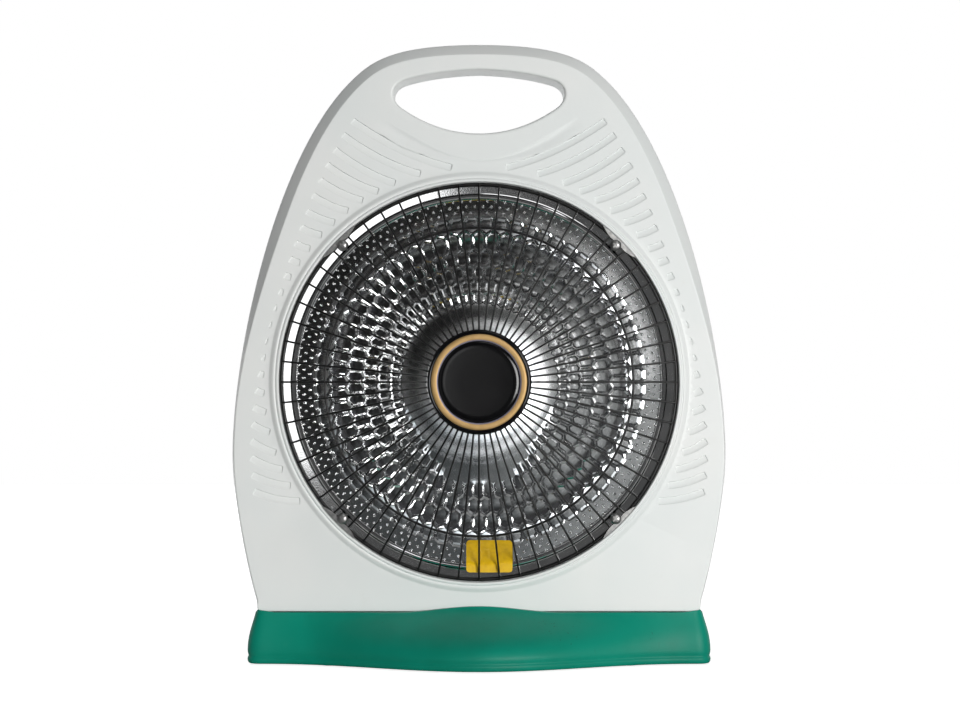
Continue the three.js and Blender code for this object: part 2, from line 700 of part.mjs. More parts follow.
function basePlate() {
  const outline = baseSection(0, wall + 1.2 + gap);
  const plate = loft([planView(outline, plateZ), planView(outline, plateTop)], layPlan);
  const holes = [
    ...plateScrews.map(([x, y]) => uprightBore(caseScrewRadius, 0, 10, 8, x, y)),
    ...feetAt.map(([x, y]) => uprightBore(footStem, 0, 10, 8, x, y)),
    uprightBore(plungerRadius + runningGap - gap, 0, 10, 12, plungerX, plungerY),
  ];
  return cut(plate, holes);
}
add('base_plate', basePlate(), 'blackPlastic');

// Push-in rubber feet: a disc below the plate and a barbed stem through it.
feetAt.forEach(([x, y], i) => {
  const barb = plateTop + gap;
  add(`rubber_foot_${i + 1}`, turnedUpright([[0, 0], [footRadius - 0.8, 0], [footRadius, footHeight],
    [footStem, footHeight], [footStem, barb], [footStem + 1, barb + 0.4], [0, barb + 3]], 10, x, y),
  'rubber');
});

// ---- Dish ---------------------------------------------------------------------------------------
function reflector() {
  const beadRadius = dishRadius - beadWidth;
  const rimRadius = apertureRadius - gap;
  const bowl = [neckRadius, 56, 88, 116];
  const front = [
    [rimRadius, rimFront], [dishRadius + 2.4, rimFront], [dishRadius + 1, rimFront - beadHeight],
    [beadRadius, rimFront - beadHeight * 0.8], [beadRadius - 2, bowlY(beadRadius - 2) - dishWall],
    ...bowl.slice().reverse().map((radius) => [radius, bowlY(radius) - dishWall]),
  ];
  const back = [
    ...bowl.map((radius) => [radius, bowlY(radius)]),
    [dishRadius - 1, bowlY(dishRadius - 1)], [dishRadius + 1.6, rimFront + dishWall],
    [rimRadius, rimFront + dishWall],
  ];
  const dish = turned(closedProfile([...front, ...back]), aroundDish);
  const holes = clipAngles.map((angle) => (
    bore(clipScrewRadius, rimFront - 1, rimFront + 3, 8, ...aroundAxis(clipScrewAt, angle))));
  return cut(dish, holes);
}
add('reflector', reflector(), 'brightMetal');

// ---- Grille -------------------------------------------------------------------------------------
const grilleY = rimFront - gap - rimWire / 2;

// The wires bow forward from the rim to the hub.
function spokeY(radius) {
  const fromRim = (rimRingRadius ** 2 - radius ** 2) / (rimRingRadius ** 2 - spokeEndRadius ** 2);
  return grilleY - grilleDome * fromRim;
}

// A three-sided wire: its ridge points forward on the rings and back on the spokes, so that the
// spokes lie on the rings and sink into them only as far as a weld does.
const weld = 0.35;

function wireSection(thickness, forward) {
  const reach = thickness / 2;
  return [90, 210, 330].map((angle) => (
    [reach * Math.cos(degrees(angle)), -forward * reach * Math.sin(degrees(angle))]));
}

function wireRing(radius, thickness, facets) {
  const y = spokeY(radius);
  return turned(closedProfile(wireSection(thickness, 1).map(([r, out]) => [radius + r, y + out])),
    facets);
}

function wireGrille() {
  const rings = [wireRing(rimRingRadius, rimWire, spokeCount),
    wireRing(middleRingRadius, middleWire, spokeCount / 2)];
  const stops = [[spokeEndRadius, middleWire], [middleRingRadius, middleWire],
    [rimRingRadius + 0.6, rimWire]];
  const spoke = loft(stops.map(([radius, carrier]) => (
    wireSection(spokeThickness, -1).map(([side, out]) => (
      point(radius, spokeY(radius) - (carrier + spokeThickness) / 2 + weld + out, side))))),
  (p) => v2(p.z, p.y));
  const spokes = Array.from({ length: spokeCount }, (_, i) => (
    spoke.rotate([0, 90 - (360 / spokeCount) * i, 0]).translate([0, 0, dishHeight])));
  return joined([...rings, joined(spokes)]);
}
add('wire_grille', wireGrille(), 'blackWire');

// Arc clips press the rim wire on the dish's rim; a pan-head screw holds each one.
const clipY = grilleY - rimWire / 2 - gap;

function clip(angle) {
  const inner = clipScrewAt - clipScrewHead + 0.8;
  const outer = apertureInside - gap;
  const arc = [];
  for (let i = -2; i <= 2; i += 1) arc.push(angle + degrees((clipHalfAngle * i) / 2));
  const outline = [...arc.map((a) => v2(outer * Math.cos(a), outer * Math.sin(a))),
    ...arc.reverse().map((a) => v2(inner * Math.cos(a), inner * Math.sin(a)))]
    .map((p) => v2(p.x, p.y + dishHeight));
  const plate = loft([frontView(outline, clipY - clipThickness), frontView(outline, clipY)],
    layFront);
  const hole = bore(clipScrewRadius, clipY - 3, clipY + 1, 8, ...aroundAxis(clipScrewAt, angle));
  return plate.subtract(hole);
}

// A pan-head screw along its own axis: head before the seat, shank beyond it. `into` is 1 or -1.
function panScrew(radius, headRadius, seat, length, into) {
  const rise = headRadius * 0.5;
  return [[0, -rise], [headRadius * 0.75, -rise], [headRadius, 0], [radius, 0], [radius, length - 1],
    [0, length]].map(([r, along]) => [r, seat + into * along]);
}

clipAngles.forEach((angle, i) => {
  add(`grille_clip_${i + 1}`, clip(angle), 'plainSteel');
  const seat = clipY - clipThickness - gap;
  add(`clip_screw_${i + 1}`, turned(panScrew(clipScrewRadius, clipScrewHead, seat, clipScrewLength, 1),
    8, ...aroundAxis(clipScrewAt, angle)), 'plainSteel');
});

// ---- Centre cap ---------------------------------------------------------------------------------
const hubFront = spokeY(spokeEndRadius) - middleWire / 2 - spokeThickness + weld - gap;
const hubBack = spokeY(capRadius) - middleWire / 2 + weld + gap;
const capFront = hubFront - capThickness;
const studRadius = 3;

function centreCap() {
  const groove = capFront + capRingDepth + gap;
  const cap = turned([[0, capFront + 0.6], [capRingInner - 3, capFront + 0.5],
    [capRingInner - gap, capFront + 1.1], [capRingInner - gap, groove], [capRingOuter + gap, groove],
    [capRingOuter + gap, capFront + 0.4], [capRadius - 2.4, capFront], [capRadius - 0.6, capFront + 1.2],
    [capRadius, capFront + 3], [capRadius, hubFront], [0, hubFront]], 24);
  return cap.subtract(bore(studRadius, hubFront - 2, hubFront + 1, 10, 0, dishHeight));
}
add('centre_cap', centreCap(), 'blackPlastic');

add('cap_ring', turned(closedProfile([[capRingInner, capFront + capRingDepth],
  [capRingInner, capFront + 0.5], [capRingInner + 0.6, capFront - 0.2],
  [capRingOuter - 0.6, capFront - 0.2], [capRingOuter, capFront + 0.5],
  [capRingOuter, capFront + capRingDepth]]), 24), 'gold');

// The hub plate closes the wires' hub ring from behind; its stud snaps into the cap.
add('grille_hub', turned([[0, hubFront - 1.6], [studRadius, hubFront - 1.6], [studRadius, hubBack],
  [capRadius - 3, hubBack], [capRadius - 1.5, hubBack + 0.8],
  [capRadius - 2.5, hubBack + hubPlateThickness], [0, hubBack + hubPlateThickness]], 20),
'blackPlastic');

// ---- Element ------------------------------------------------------------------------------------
const socketFront = bracketY - gap - socketLength;
const coreEnd = socketFront - gap;

add('element_socket', turned([[0, socketFront], [socketRadius - 3, socketFront],
  [socketRadius - 1, socketFront + 2], [socketRadius - 1, vertexY + 1], [socketRadius + 3, vertexY + 2],
  [socketRadius + 3, vertexY + 5], [socketRadius, vertexY + 6], [socketRadius, bracketY - gap],
  [0, bracketY - gap]], 16), 'ceramic');

add('element_core', turned([[0, coreEnd - coreLength], [coreRadius - 2, coreEnd - coreLength],
  [coreRadius + 1.5, coreEnd - coreLength + 2], [coreRadius + 1.5, coreEnd - coreLength + 5],
  [coreRadius, coreEnd - coreLength + 6], [coreRadius, coreEnd - 6], [coreRadius + 3, coreEnd - 5],
  [coreRadius + 3, coreEnd], [0, coreEnd]], 12), 'ceramic');

class Helix extends THREE.Curve {
  constructor(radius, turns, from, to, lay) {
    super();
    Object.assign(this, { radius, turns, from, to, lay });
  }

  getPoint(t, target = new THREE.Vector3()) {
    const angle = 2 * Math.PI * this.turns * t;
    const along = THREE.MathUtils.lerp(this.from, this.to, t);
    const [a, b] = [this.radius * Math.cos(angle), this.radius * Math.sin(angle)];
    return target.copy(this.lay(a, b, along));
  }
}

const coilSteps = 6;               // straight stretches in each turn
const coilRadius = holeRadius(coreRadius + coilWire / 2 + gap, coilSteps);

add('element_coil', wire(new Helix(coilRadius, coilTurns, coreEnd - 8, coreEnd - coreLength + 9,
  (a, b, along) => point(a, along, dishHeight + b)), coilWire / 2, coilTurns * coilSteps, 4),
'resistanceWire');

// A strap across the back of the dish carries socket, terminals and thermal cut-out.
const strapTop = bracketSpan - 11;
const strapFoot = bracketSpan + 9;

function bracket() {
  const front = [[strapFoot, bowlY(strapFoot) + gap], [bracketSpan, bowlY(bracketSpan) + gap],
    [strapTop, bracketY]];
  const back = front.map(([x, y]) => [x - 0.3, y + bracketThickness]).reverse();
  const mirror = (points) => points.map(([x, y]) => [-x, y]).reverse();
  return prism([...front, ...mirror(front), ...mirror(back), ...back], 'z',
    dishHeight - bracketWidth / 2, dishHeight + bracketWidth / 2);
}
add('element_bracket', bracket(), 'plainSteel');

add('terminal_block', cut(
  box([-terminalWidth / 2, strapBack, dishHeight - 7],
    [terminalWidth / 2, strapBack + terminalDepth, dishHeight + 7]),
  [-1, 0, 1].map((side) => rod(2.2, strapBack + 4, strapBack + terminalDepth + 1, 8,
    (side * terminalWidth) / 3, dishHeight))), 'ceramic');

add('thermal_cutout', turned([[0, strapBack], [cutoutRadius, strapBack],
  [cutoutRadius, strapBack + 3], [cutoutRadius - 1.5, strapBack + 3.6],
  [cutoutRadius - 1.5, strapBack + 8], [0, strapBack + 8]], 16, strapTop - cutoutRadius - 1,
dishHeight), 'blackPlastic');

// ---- Case screws --------------------------------------------------------------------------------
caseScrews.forEach(([x, z], i) => {
  add(`case_screw_${i + 1}`,
    turned(panScrew(caseScrewRadius, caseScrewHead, panY + gap, caseScrewLength, -1), 8, x, z),
    'plainSteel');
});
bodyScrews.forEach(([x, y], i) => {
  const seat = deckHeight - wall - gap;
  add(`body_screw_${i + 1}`,
    turnedUpright(panScrew(caseScrewRadius, caseScrewHead, seat, bodyScrewLength, 1), 8, x, y),
    'plainSteel');
});
plateScrews.forEach(([x, y], i) => {
  add(`plate_screw_${i + 1}`,
    turnedUpright(panScrew(caseScrewRadius, caseScrewHead, plateZ - gap, plateScrewLength, 1), 8, x, y),
    'plainSteel');
});

// ---- Power rocker -------------------------------------------------------------------------------
const rockerPinY = panY - rockerPinDepth;
const pinRadius = 0.9;
const switchWall = 1.2;

function rodAlongX(radius, from, to, y, z) {
  const pin = new THREE.CylinderGeometry(radius, radius, to - from, 10).rotateZ(Math.PI / 2);
  return solid(pin.translate((from + to) / 2, y, z));
}

function switchBody() {
  const outerX = switchFrameWidth / 2 - switchWall;
  const outerZ = switchFrameHeight / 2 - switchWall;
  const seat = panY + gap;
  const frame = box([rockerX - switchFrameWidth / 2, seat, rockerZ - switchFrameHeight / 2],
    [rockerX + switchFrameWidth / 2, seat + switchFrameProud, rockerZ + switchFrameHeight / 2]);
  const body = box([rockerX - outerX, panY - switchDepth, rockerZ - outerZ],
    [rockerX + outerX, seat + 0.1, rockerZ + outerZ]);
  const blades = [-1, 1].map((side) => (
    box([rockerX - 0.4, panY - switchDepth - 7, rockerZ + side * 4.5 - 2],
      [rockerX + 0.4, panY - switchDepth + 1, rockerZ + side * 4.5 + 2])));
  const halfX = rockerWidth / 2 + runningGap;
  const halfZ = rockerReach + runningGap;
  const swing = Math.hypot(rockerReach * 0.6, rockerBack) + runningGap;
  const pocket = box([rockerX - halfX, rockerPinY - swing, rockerZ - halfZ],
    [rockerX + halfX, panY + 4, rockerZ + halfZ]);
  const pinHoles = rodAlongX(pinRadius + gap, rockerX - outerX - 1, rockerX + outerX + 1,
    rockerPinY, rockerZ);
  return cut(joined([frame, body, ...blades]), [pocket, pinHoles]);
}
add('switch_body', switchBody(), 'blackPlastic');

// The paddle stands at its off position, tilted up from level about the pins.
function rocker() {
  const end = degrees(30);
  const outline = [[rockerReach * Math.cos(end), rockerReach * Math.sin(end)], [0, 3.2],
    [-rockerReach * Math.cos(end), rockerReach * Math.sin(end)], [-rockerReach + 0.3, -1],
    [-rockerReach * 0.6, -rockerBack], [rockerReach * 0.6, -rockerBack], [rockerReach - 0.3, -1]];
  const tilt = degrees(-rockerTilt);
  const turnedOutline = outline.map(([up, out]) => {
    const p = v2(up, out).rotateAround(v2(0, 0), tilt);
    return [rockerPinY + p.y, rockerZ + p.x];
  });
  const paddle = prism(turnedOutline, 'x', rockerX - rockerWidth / 2, rockerX + rockerWidth / 2);
  const reach = rockerWidth / 2 + runningGap + 0.8;
  return paddle.add(rodAlongX(pinRadius, rockerX - reach, rockerX + reach, rockerPinY, rockerZ));
}
add('switch_rocker', rocker(), 'blackPlastic', powerRocker);

// ---- Tip-over switch ----------------------------------------------------------------------------
const collarZ = plateTop + plungerTravel + 0.5;
const collarTop = collarZ + 1.5;
const tipBlockZ = collarTop + 3.4;
const stemTop = tipBlockZ + plungerTravel + 3;

add('tip_plunger', turnedUpright([[0, 0.15], [plungerRadius - 1, 0.15], [plungerRadius, 1.1],
  [plungerRadius, collarZ], [plungerRadius + 1.6, collarZ], [plungerRadius + 1.6, collarTop],
  [plungerStem, collarTop], [plungerStem, stemTop], [0, stemTop]], 16, plungerX, plungerY),
'blackPlastic', safetyPlunger);

function tipSwitch() {
  const half = plungerRadius + 1.6 + 1.4;
  const leg = 3;
  const block = box([plungerX - half - leg, plungerY - 7, plateTop + gap],
    [plungerX + half + leg, plungerY + 7, stemTop + 2.5]);
  const archway = box([plungerX - half, plungerY - 8, plateTop], [plungerX + half, plungerY + 8,
    tipBlockZ]);
  const stemHole = uprightBore(plungerStem + runningGap - gap, tipBlockZ - 1, stemTop + 1, 16,
    plungerX, plungerY);
  return cut(block, [archway, stemHole]);
}
add('tip_switch', tipSwitch(), 'blackPlastic');

const springWire = 0.8;
const springEnd = springWire / 2 + gap;
add('plunger_spring', wire(new Helix(plungerStem + 1.9, 2, collarTop + springEnd,
  tipBlockZ - springEnd, (a, b, up) => point(plungerX + a, plungerY + b, up)), springWire / 2, 20, 4),
'plainSteel');

// ---- Mains inlet and leads ----------------------------------------------------------------------
add('cord_gland', turned(closedProfile([[glandBore, panY - 8], [glandRadius, panY - 8],
  [glandRadius, panY + gap], [glandRadius + 3, panY + gap], [glandRadius + 3, panY + 2],
  [glandRadius + 0.5, panY + 4], [glandRadius - 1, panY + 15], [glandBore, panY + 15]]), 16,
glandX, glandZ), 'blackPlastic');

const path = (...stops) => new THREE.CatmullRomCurve3(stops.map((stop) => point(...stop)));
const underDishZ = dishHeight - apertureRadius + 4;
const terminalFoot = dishHeight - 7 - 2 * gap;
const glandEnd = panY - 8 - 3 * gap;
const terminalLeadX = terminalWidth / 3;
const bladeX = rockerX + 0.4 + 2 * gap;
const bladeY = panY - switchDepth - 4;

// Both upward leads run round the outside of the bowl and in behind it to the terminals.
const leadTurn = degrees(39);      // off the upright

function offBowl(side, share, clearance) {
  const radius = share * apertureRadius;
  const [across, down] = [radius * Math.sin(leadTurn), radius * Math.cos(leadTurn)];
  return [side * across, bowlY(radius) + clearance, dishHeight - down];
}

const behindBowl = (side) => [
  offBowl(side, 0.84, 15), offBowl(side, 0.58, 11), offBowl(side, 0.3, 14.5),
  [side * (terminalLeadX + 1), strapBack + 5, terminalFoot - 9],
  [side * terminalLeadX, strapBack + 6, terminalFoot],
];

add('lead_live', wire(path([glandX - 1.8, glandEnd, glandZ], [glandX - 4, panY - 14, underDishZ],
  [glandX * 0.6, panY - 20, underDishZ], [0, panY - 22, underDishZ - 2],
  [rockerX * 0.6, panY - 22, underDishZ],
  [rockerX + 14, bladeY - 1, rockerZ - 6], [bladeX + 5, bladeY, rockerZ - 4.5],
  [bladeX, bladeY, rockerZ - 4.5]), leadRadius, 16, 5), 'blackPlastic');
add('lead_switched', wire(path([bladeX, bladeY, rockerZ + 4.5], [bladeX + 5, bladeY, rockerZ + 4.5],
  [rockerX + 14, panY - 18, rockerZ + 12], ...behindBowl(-1)), leadRadius, 16, 5), 'blackPlastic');
add('lead_neutral', wire(path([glandX + 1.8, glandEnd, glandZ], [glandX + 1, panY - 14, glandZ + 8],
  [glandX - 16, panY - 14, glandZ + 28], ...behindBowl(1)), leadRadius, 18, 5), 'blackPlastic');

export default heater;
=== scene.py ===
import math

import bmesh
import bpy
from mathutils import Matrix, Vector
from mathutils.geometry import delaunay_2d_cdt


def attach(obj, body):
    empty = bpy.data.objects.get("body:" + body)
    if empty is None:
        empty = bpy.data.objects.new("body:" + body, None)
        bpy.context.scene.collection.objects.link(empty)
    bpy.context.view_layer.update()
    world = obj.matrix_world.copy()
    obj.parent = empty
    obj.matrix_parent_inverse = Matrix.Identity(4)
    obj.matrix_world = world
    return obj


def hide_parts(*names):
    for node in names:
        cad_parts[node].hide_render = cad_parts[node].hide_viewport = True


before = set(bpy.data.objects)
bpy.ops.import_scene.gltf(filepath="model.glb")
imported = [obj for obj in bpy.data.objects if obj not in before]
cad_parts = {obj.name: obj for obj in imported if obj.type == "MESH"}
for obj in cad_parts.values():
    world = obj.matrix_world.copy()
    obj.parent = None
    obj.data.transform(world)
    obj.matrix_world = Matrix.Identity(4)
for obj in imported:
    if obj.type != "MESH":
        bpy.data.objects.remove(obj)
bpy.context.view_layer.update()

# ---- Stage --------------------------------------------------------------------------------------
# A pale sweep of floor and a white surround. A large soft lamp stands in front on the right, with a
# weak fill, two small lamps in the dish that light the element, and a lamp behind. The room behind
# the camera is dim, with a few bright windows that the polished dish mirrors.
MM = 0.001


class Value:
    """A node's output. Python's operators on it add Math nodes."""

    def __init__(self, graph, socket):
        self.graph, self.socket = graph, socket

    def out(self, name):
        return Value(self.graph, self.socket.node.outputs[name])

    def maths(self, operation, *terms):
        return self.graph.node("ShaderNodeMath", {"operation": operation}, dict(enumerate(terms)))

    def __add__(self, other):
        return self.maths("ADD", self, other)

    def __rsub__(self, other):
        return self.maths("SUBTRACT", other, self)

    def __mul__(self, other):
        return self.maths("MULTIPLY", self, other)

    def __pow__(self, other):
        return self.maths("POWER", self, other)

    __radd__, __rmul__ = __add__, __mul__

    def fit(self, low, high, to_low=0.0, to_high=1.0):
        return self.graph.node("ShaderNodeMapRange", {"interpolation_type": "SMOOTHSTEP"}, {
            "Value": self, "From Min": low, "From Max": high, "To Min": to_low, "To Max": to_high})


class Graph:
    """A node tree of shaders or of geometry."""

    def __init__(self, tree):
        self.tree = tree

    def node(self, kind, settings=None, inputs=None, output=0):
        node = self.tree.nodes.new(kind)
        for name, value in (settings or {}).items():
            setattr(node, name, value)
        for key, value in (inputs or {}).items():
            if isinstance(value, Value):
                self.tree.links.new(value.socket, node.inputs[key])
            else:
                node.inputs[key].default_value = value
        return Value(self, node.outputs[output]) if node.outputs else node

    def feed(self, socket, value):
        if isinstance(value, Value):
            self.tree.links.new(value.socket, socket)
        else:
            socket.default_value = value


class Finish(Graph):
    """A surface finish: one Principled shader and the patterns that vary it."""

    def __init__(self, name, **constants):
        self.material = bpy.data.materials.new(name)
        self.material.use_nodes = True
        super().__init__(self.material.node_tree)
        self.shader = self.tree.nodes["Principled BSDF"]
        for socket, value in constants.items():
            self.shader.inputs[socket.replace("_", " ")].default_value = value
        self.place = self.node("ShaderNodeTexCoord").out("Object")

    def noise(self, size, detail=3.0, roughness=0.55, stretch=(1, 1, 1)):
        """Cloudy values about 0.5, with features of that size in metres."""
        spot = self.node("ShaderNodeMapping", None, {"Vector": self.place, "Scale": stretch})
        return self.node("ShaderNodeTexNoise", None, {
            "Vector": spot, "Scale": 1 / size, "Detail": detail, "Roughness": roughness})

    def mix(self, mask, first, second):
        return self.node("ShaderNodeMix", {"data_type": "RGBA"},
                         {0: mask, 6: first, 7: second}, output=2)

    def paint(self, value):
        self.feed(self.shader.inputs["Base Color"], value)

    def rough(self, value):
        self.feed(self.shader.inputs["Roughness"], value)

    def bump(self, height, distance, strength=1.0):
        self.feed(self.shader.inputs["Normal"], self.node("ShaderNodeBump", None, {
            "Height": height, "Distance": distance, "Strength": strength}))


def rgb(red, green, blue):
    """A colour as a screen shows it, made linear."""
    return tuple((c / 255 / 12.92 if c <= 10 else ((c / 255 + 0.055) / 1.055) ** 2.4)
                 for c in (red, green, blue)) + (1,)


def link(name, data):
    thing = bpy.data.objects.new(name, data)
    bpy.context.scene.collection.objects.link(thing)
    return thing


camera = link("camera", bpy.data.cameras.new("camera"))
camera.location = (0, -1.84, 0.215)
camera.rotation_euler = (math.radians(90), 0, 0)
camera.data.lens = 89.4
camera.data.shift_x = 0.001
camera.data.shift_y = 0.0202
bpy.context.scene.camera = camera
bpy.context.scene.view_settings.view_transform = "Standard"


def lamp(name, place, aim, size, power, colour, spread=180):
    light = link(name, bpy.data.lights.new(name, "AREA"))
    light.data.shape = "RECTANGLE"
    light.data.size, light.data.size_y = size
    light.data.energy = power
    light.data.spread = math.radians(spread)
    light.data.color = colour
    light.location = place
    light.rotation_euler = (Vector(aim) - Vector(place)).to_track_quat("-Z", "Y").to_euler()
    light.visible_camera = False


heart, element_front = (0, 0, 0.22), (0, -0.019, 0.213)
lamp("key", (1.0, -2.1, 0.30), heart, (0.8, 0.9), 38, (1, 0.995, 0.985))
lamp("fill", (-0.2, -2.2, 0.3), heart, (0.3, 0.3), 3, (0.97, 0.99, 1))
lamp("bounce", (0.078, 0.002, 0.205), element_front, (0.02, 0.03), 0.12, (0.96, 0.98, 1), 90)
lamp("glint", (0.012, 0.002, 0.136), element_front, (0.03, 0.02), 0.03, (0.85, 0.93, 1), 90)
lamp("back", (-1.0, 2.3, 0.9), heart, (1.2, 1.2), 24, (0.98, 0.99, 1))
for name in ("fill", "bounce", "glint", "back"):
    bpy.data.objects[name].visible_glossy = False

world = bpy.data.worlds.new("surround")
bpy.context.scene.world = world
world.use_nodes = True
air = Graph(world.node_tree)
rays = air.node("ShaderNodeLightPath")
looking = air.node("ShaderNodeTexCoord").out("Generated")
compass = air.node("ShaderNodeSeparateXYZ", None, {0: looking})
ahead = compass.out("Y")


def window(left, right, low, high, soft, strength):
    """A bright patch of the room in front of the dish, by the direction it lies in."""
    across = compass.out("X").fit(left - soft, left) * compass.out("X").fit(right + soft, right)
    up = compass.out("Z").fit(low - soft, low) * compass.out("Z").fit(high + soft, high)
    return across * up * ahead.fit(0.05, -0.05) * strength


seen = rays.out("Is Camera Ray")
mirrored = rays.out("Is Glossy Ray") + rays.out("Is Transmission Ray")
room = ahead.fit(-0.25, 0.35, 0.09, 1.0)
room = room + window(-0.11, -0.02, -0.03, 0.11, 0.01, 2.2)
room = room + window(-0.55, -0.38, -0.30, 0.50, 0.04, 0.3)
room = room + window(0.03, 0.40, 0.60, 0.82, 0.03, 1.8)
ambient = 0.13
level = seen + (1 - seen) * (mirrored * room + (1 - mirrored) * ambient)
air.feed(air.tree.nodes["Background"].inputs["Color"], level)

floor_half = 3.0
floor_front = -0.42
floor_finish = Finish("pale_floor", Roughness=0.9)
floor_finish.paint((0.8, 0.8, 0.79, 1))
spread = floor_finish.node("ShaderNodeVectorMath", {"operation": "LENGTH"},
                           {0: floor_finish.place}, output=1)
path = floor_finish.node("ShaderNodeLightPath")
behind = floor_finish.node("ShaderNodeSeparateXYZ", None, {0: floor_finish.place}).out("Y")
others = (path.out("Is Glossy Ray") + path.out("Is Transmission Ray")) * behind.fit(0.0, 0.4)
lift = spread.fit(0.2, 0.7, 0.84, 1.0) * (path.out("Is Camera Ray") + others)
floor_finish.feed(floor_finish.shader.inputs["Emission Color"], lift)
floor_finish.shader.inputs["Emission Strength"].default_value = 1.0
floor_mesh = bpy.data.meshes.new("floor")
floor_mesh.from_pydata([(-floor_half, floor_front, 0), (floor_half, floor_front, 0),
                        (floor_half, floor_half, 0), (-floor_half, floor_half, 0)],
                       [], [(0, 1, 2, 3)])
floor_mesh.materials.append(floor_finish.material)
floor = link("floor", floor_mesh)

# ---- Front housing ------------------------------------------------------------------------------
# The front half of the case: one white injection-moulded shell with a satin, faintly textured skin.
# Its face carries a chamfered edge that widens over the shoulders, the carry-handle opening, a
# raised bezel round the dish and 24 stepped flutes to each side.
WALL = 2.5
CROWN = 470.5
DISH_Z = 213.0
FACE_Y = -40.0
PARTING_Y = -14.0
DRAFT = 2.8
APERTURE = 151.0
BEZEL = 161.0
FOOT_Z = 39.6


def steered(points, count):
    """Points along the smooth curve that the given points steer, ends included."""
    degree = len(points) - 1
    found = []
    for step in range(count + 1):
        t = step / count
        weights = [math.comb(degree, k) * t ** k * (1 - t) ** (degree - k) for k in range(degree + 1)]
        found.append(tuple(sum(w * p[axis] for w, p in zip(weights, points)) for axis in (0, 1)))
    return found


def with_mirror(half):
    """A half outline from the middle of the top round to the middle of the bottom, and its mirror."""
    return half + [(-x, z) for x, z in reversed(half) if x > 1e-6]


def smooth(value, low, high):
    t = min(max((value - low) / (high - low), 0), 1)
    return t * t * (3 - 2 * t)


def grown(outline, distance):
    """The outline moved out by a distance, which may depend on the point; negative moves it in."""
    area = sum(a[0] * b[1] - b[0] * a[1] for a, b in zip(outline, outline[1:] + outline[:1]))
    turn = 1 if area > 0 else -1
    moved = []
    for i, here in enumerate(outline):
        before = Vector(here) - Vector(outline[i - 1])
        after = Vector(outline[(i + 1) % len(outline)]) - Vector(here)
        along = (before.normalized() + after.normalized()).normalized()
        mitre = 1 / max(0.5, along.dot(after.normalized()))
        reach = turn * mitre * (distance(here) if callable(distance) else distance)
        moved.append((here[0] + along.y * reach, here[1] - along.x * reach))
    return moved


def upright_ring(outline, y):
    return [(x, y, z) for x, z in outline]


def circle(radius, count=240, x=0.0, z=DISH_Z):
    turns = [2 * math.pi * i / count for i in range(count)]
    return [(x + radius * math.sin(turn), z + radius * math.cos(turn)) for turn in turns]


def encloses(loop, x, z):
    odd = False
    for (ax, az), (bx, bz) in zip(loop, loop[1:] + loop[:1]):
        if (az > z) != (bz > z) and x < ax + (z - az) * (bx - ax) / (bz - az):
            odd = not odd
    return odd


class Skin:
    """The points and faces of one moulding, in millimetres, gathered strip by strip."""

    def __init__(self):
        self.points, self.faces = [], []

    def strip(self, rings, closed=True):
        """Quads between rings of equal count."""
        start, count = len(self.points), len(rings[0])
        for ring in rings:
            self.points.extend(ring)
        for r in range(len(rings) - 1):
            for i in range(count if closed else count - 1):
                a, b = start + r * count + i, start + r * count + (i + 1) % count
                self.faces.append((a, b, b + count, a + count))
        return self

    def turned(self, profile, facets=240, x=0.0, z=DISH_Z):
        """A profile of (radius, y) turned about an axis along Y."""
        return self.strip([upright_ring(circle(radius, facets, x, z), y) for radius, y in profile])

    def sheet(self, outline, holes, y):
        """A flat face at that depth: triangles between an outline and its holes."""
        points, edges = [], []
        for loop in [outline, *holes]:
            first = len(points)
            points.extend(Vector(p) for p in loop)
            edges.extend((first + i, first + (i + 1) % len(loop)) for i in range(len(loop)))
        flat, _, faces, *_ = delaunay_2d_cdt(points, edges, [], 1, 1e-7)
        spans = [(min(p[0] for p in hole), max(p[0] for p in hole), hole) for hole in holes]
        start = len(self.points)
        self.points.extend((p[0], y, p[1]) for p in flat)
        for face in faces:
            x, z = (sum(flat[i][axis] for i in face) / 3 for axis in (0, 1))
            near = (hole for low, high, hole in spans if low < x < high)
            if not any(encloses(hole, x, z) for hole in near):
                self.faces.append(tuple(start + i for i in face))
        return self


def shade(mesh, angle=30.0):
    """Smooth shading, broken where faces meet at more than the angle."""
    net = bmesh.new()
    net.from_mesh(mesh)
    for face in net.faces:
        face.smooth = True
    for edge in net.edges:
        edge.smooth = len(edge.link_faces) == 2 and edge.calc_face_angle() < math.radians(angle)
    net.to_mesh(mesh)
    net.free()


def moulded(name, skin, finish, angle=30.0, merge=0.002):
    """An object from a skin: metres, doubles merged, faces turned outward."""
    mesh = bpy.data.meshes.new(name)
    mesh.from_pydata([tuple(c * MM for c in p) for p in skin.points], [], skin.faces)
    net = bmesh.new()
    net.from_mesh(mesh)
    bmesh.ops.remove_doubles(net, verts=net.verts, dist=merge * MM)
    bmesh.ops.dissolve_degenerate(net, edges=net.edges, dist=merge * MM / 2)
    bmesh.ops.recalc_face_normals(net, faces=net.faces)
    net.to_mesh(mesh)
    net.free()
    mesh.materials.append(finish.material)
    shade(mesh, angle)
    return link(name, mesh)


def house(piece, slot, *nodes, body="heater"):
    """Says what a finished piece rides on and stands for; the slot it is given is not used."""
    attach(piece, body)
    if nodes:
        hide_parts(*nodes)


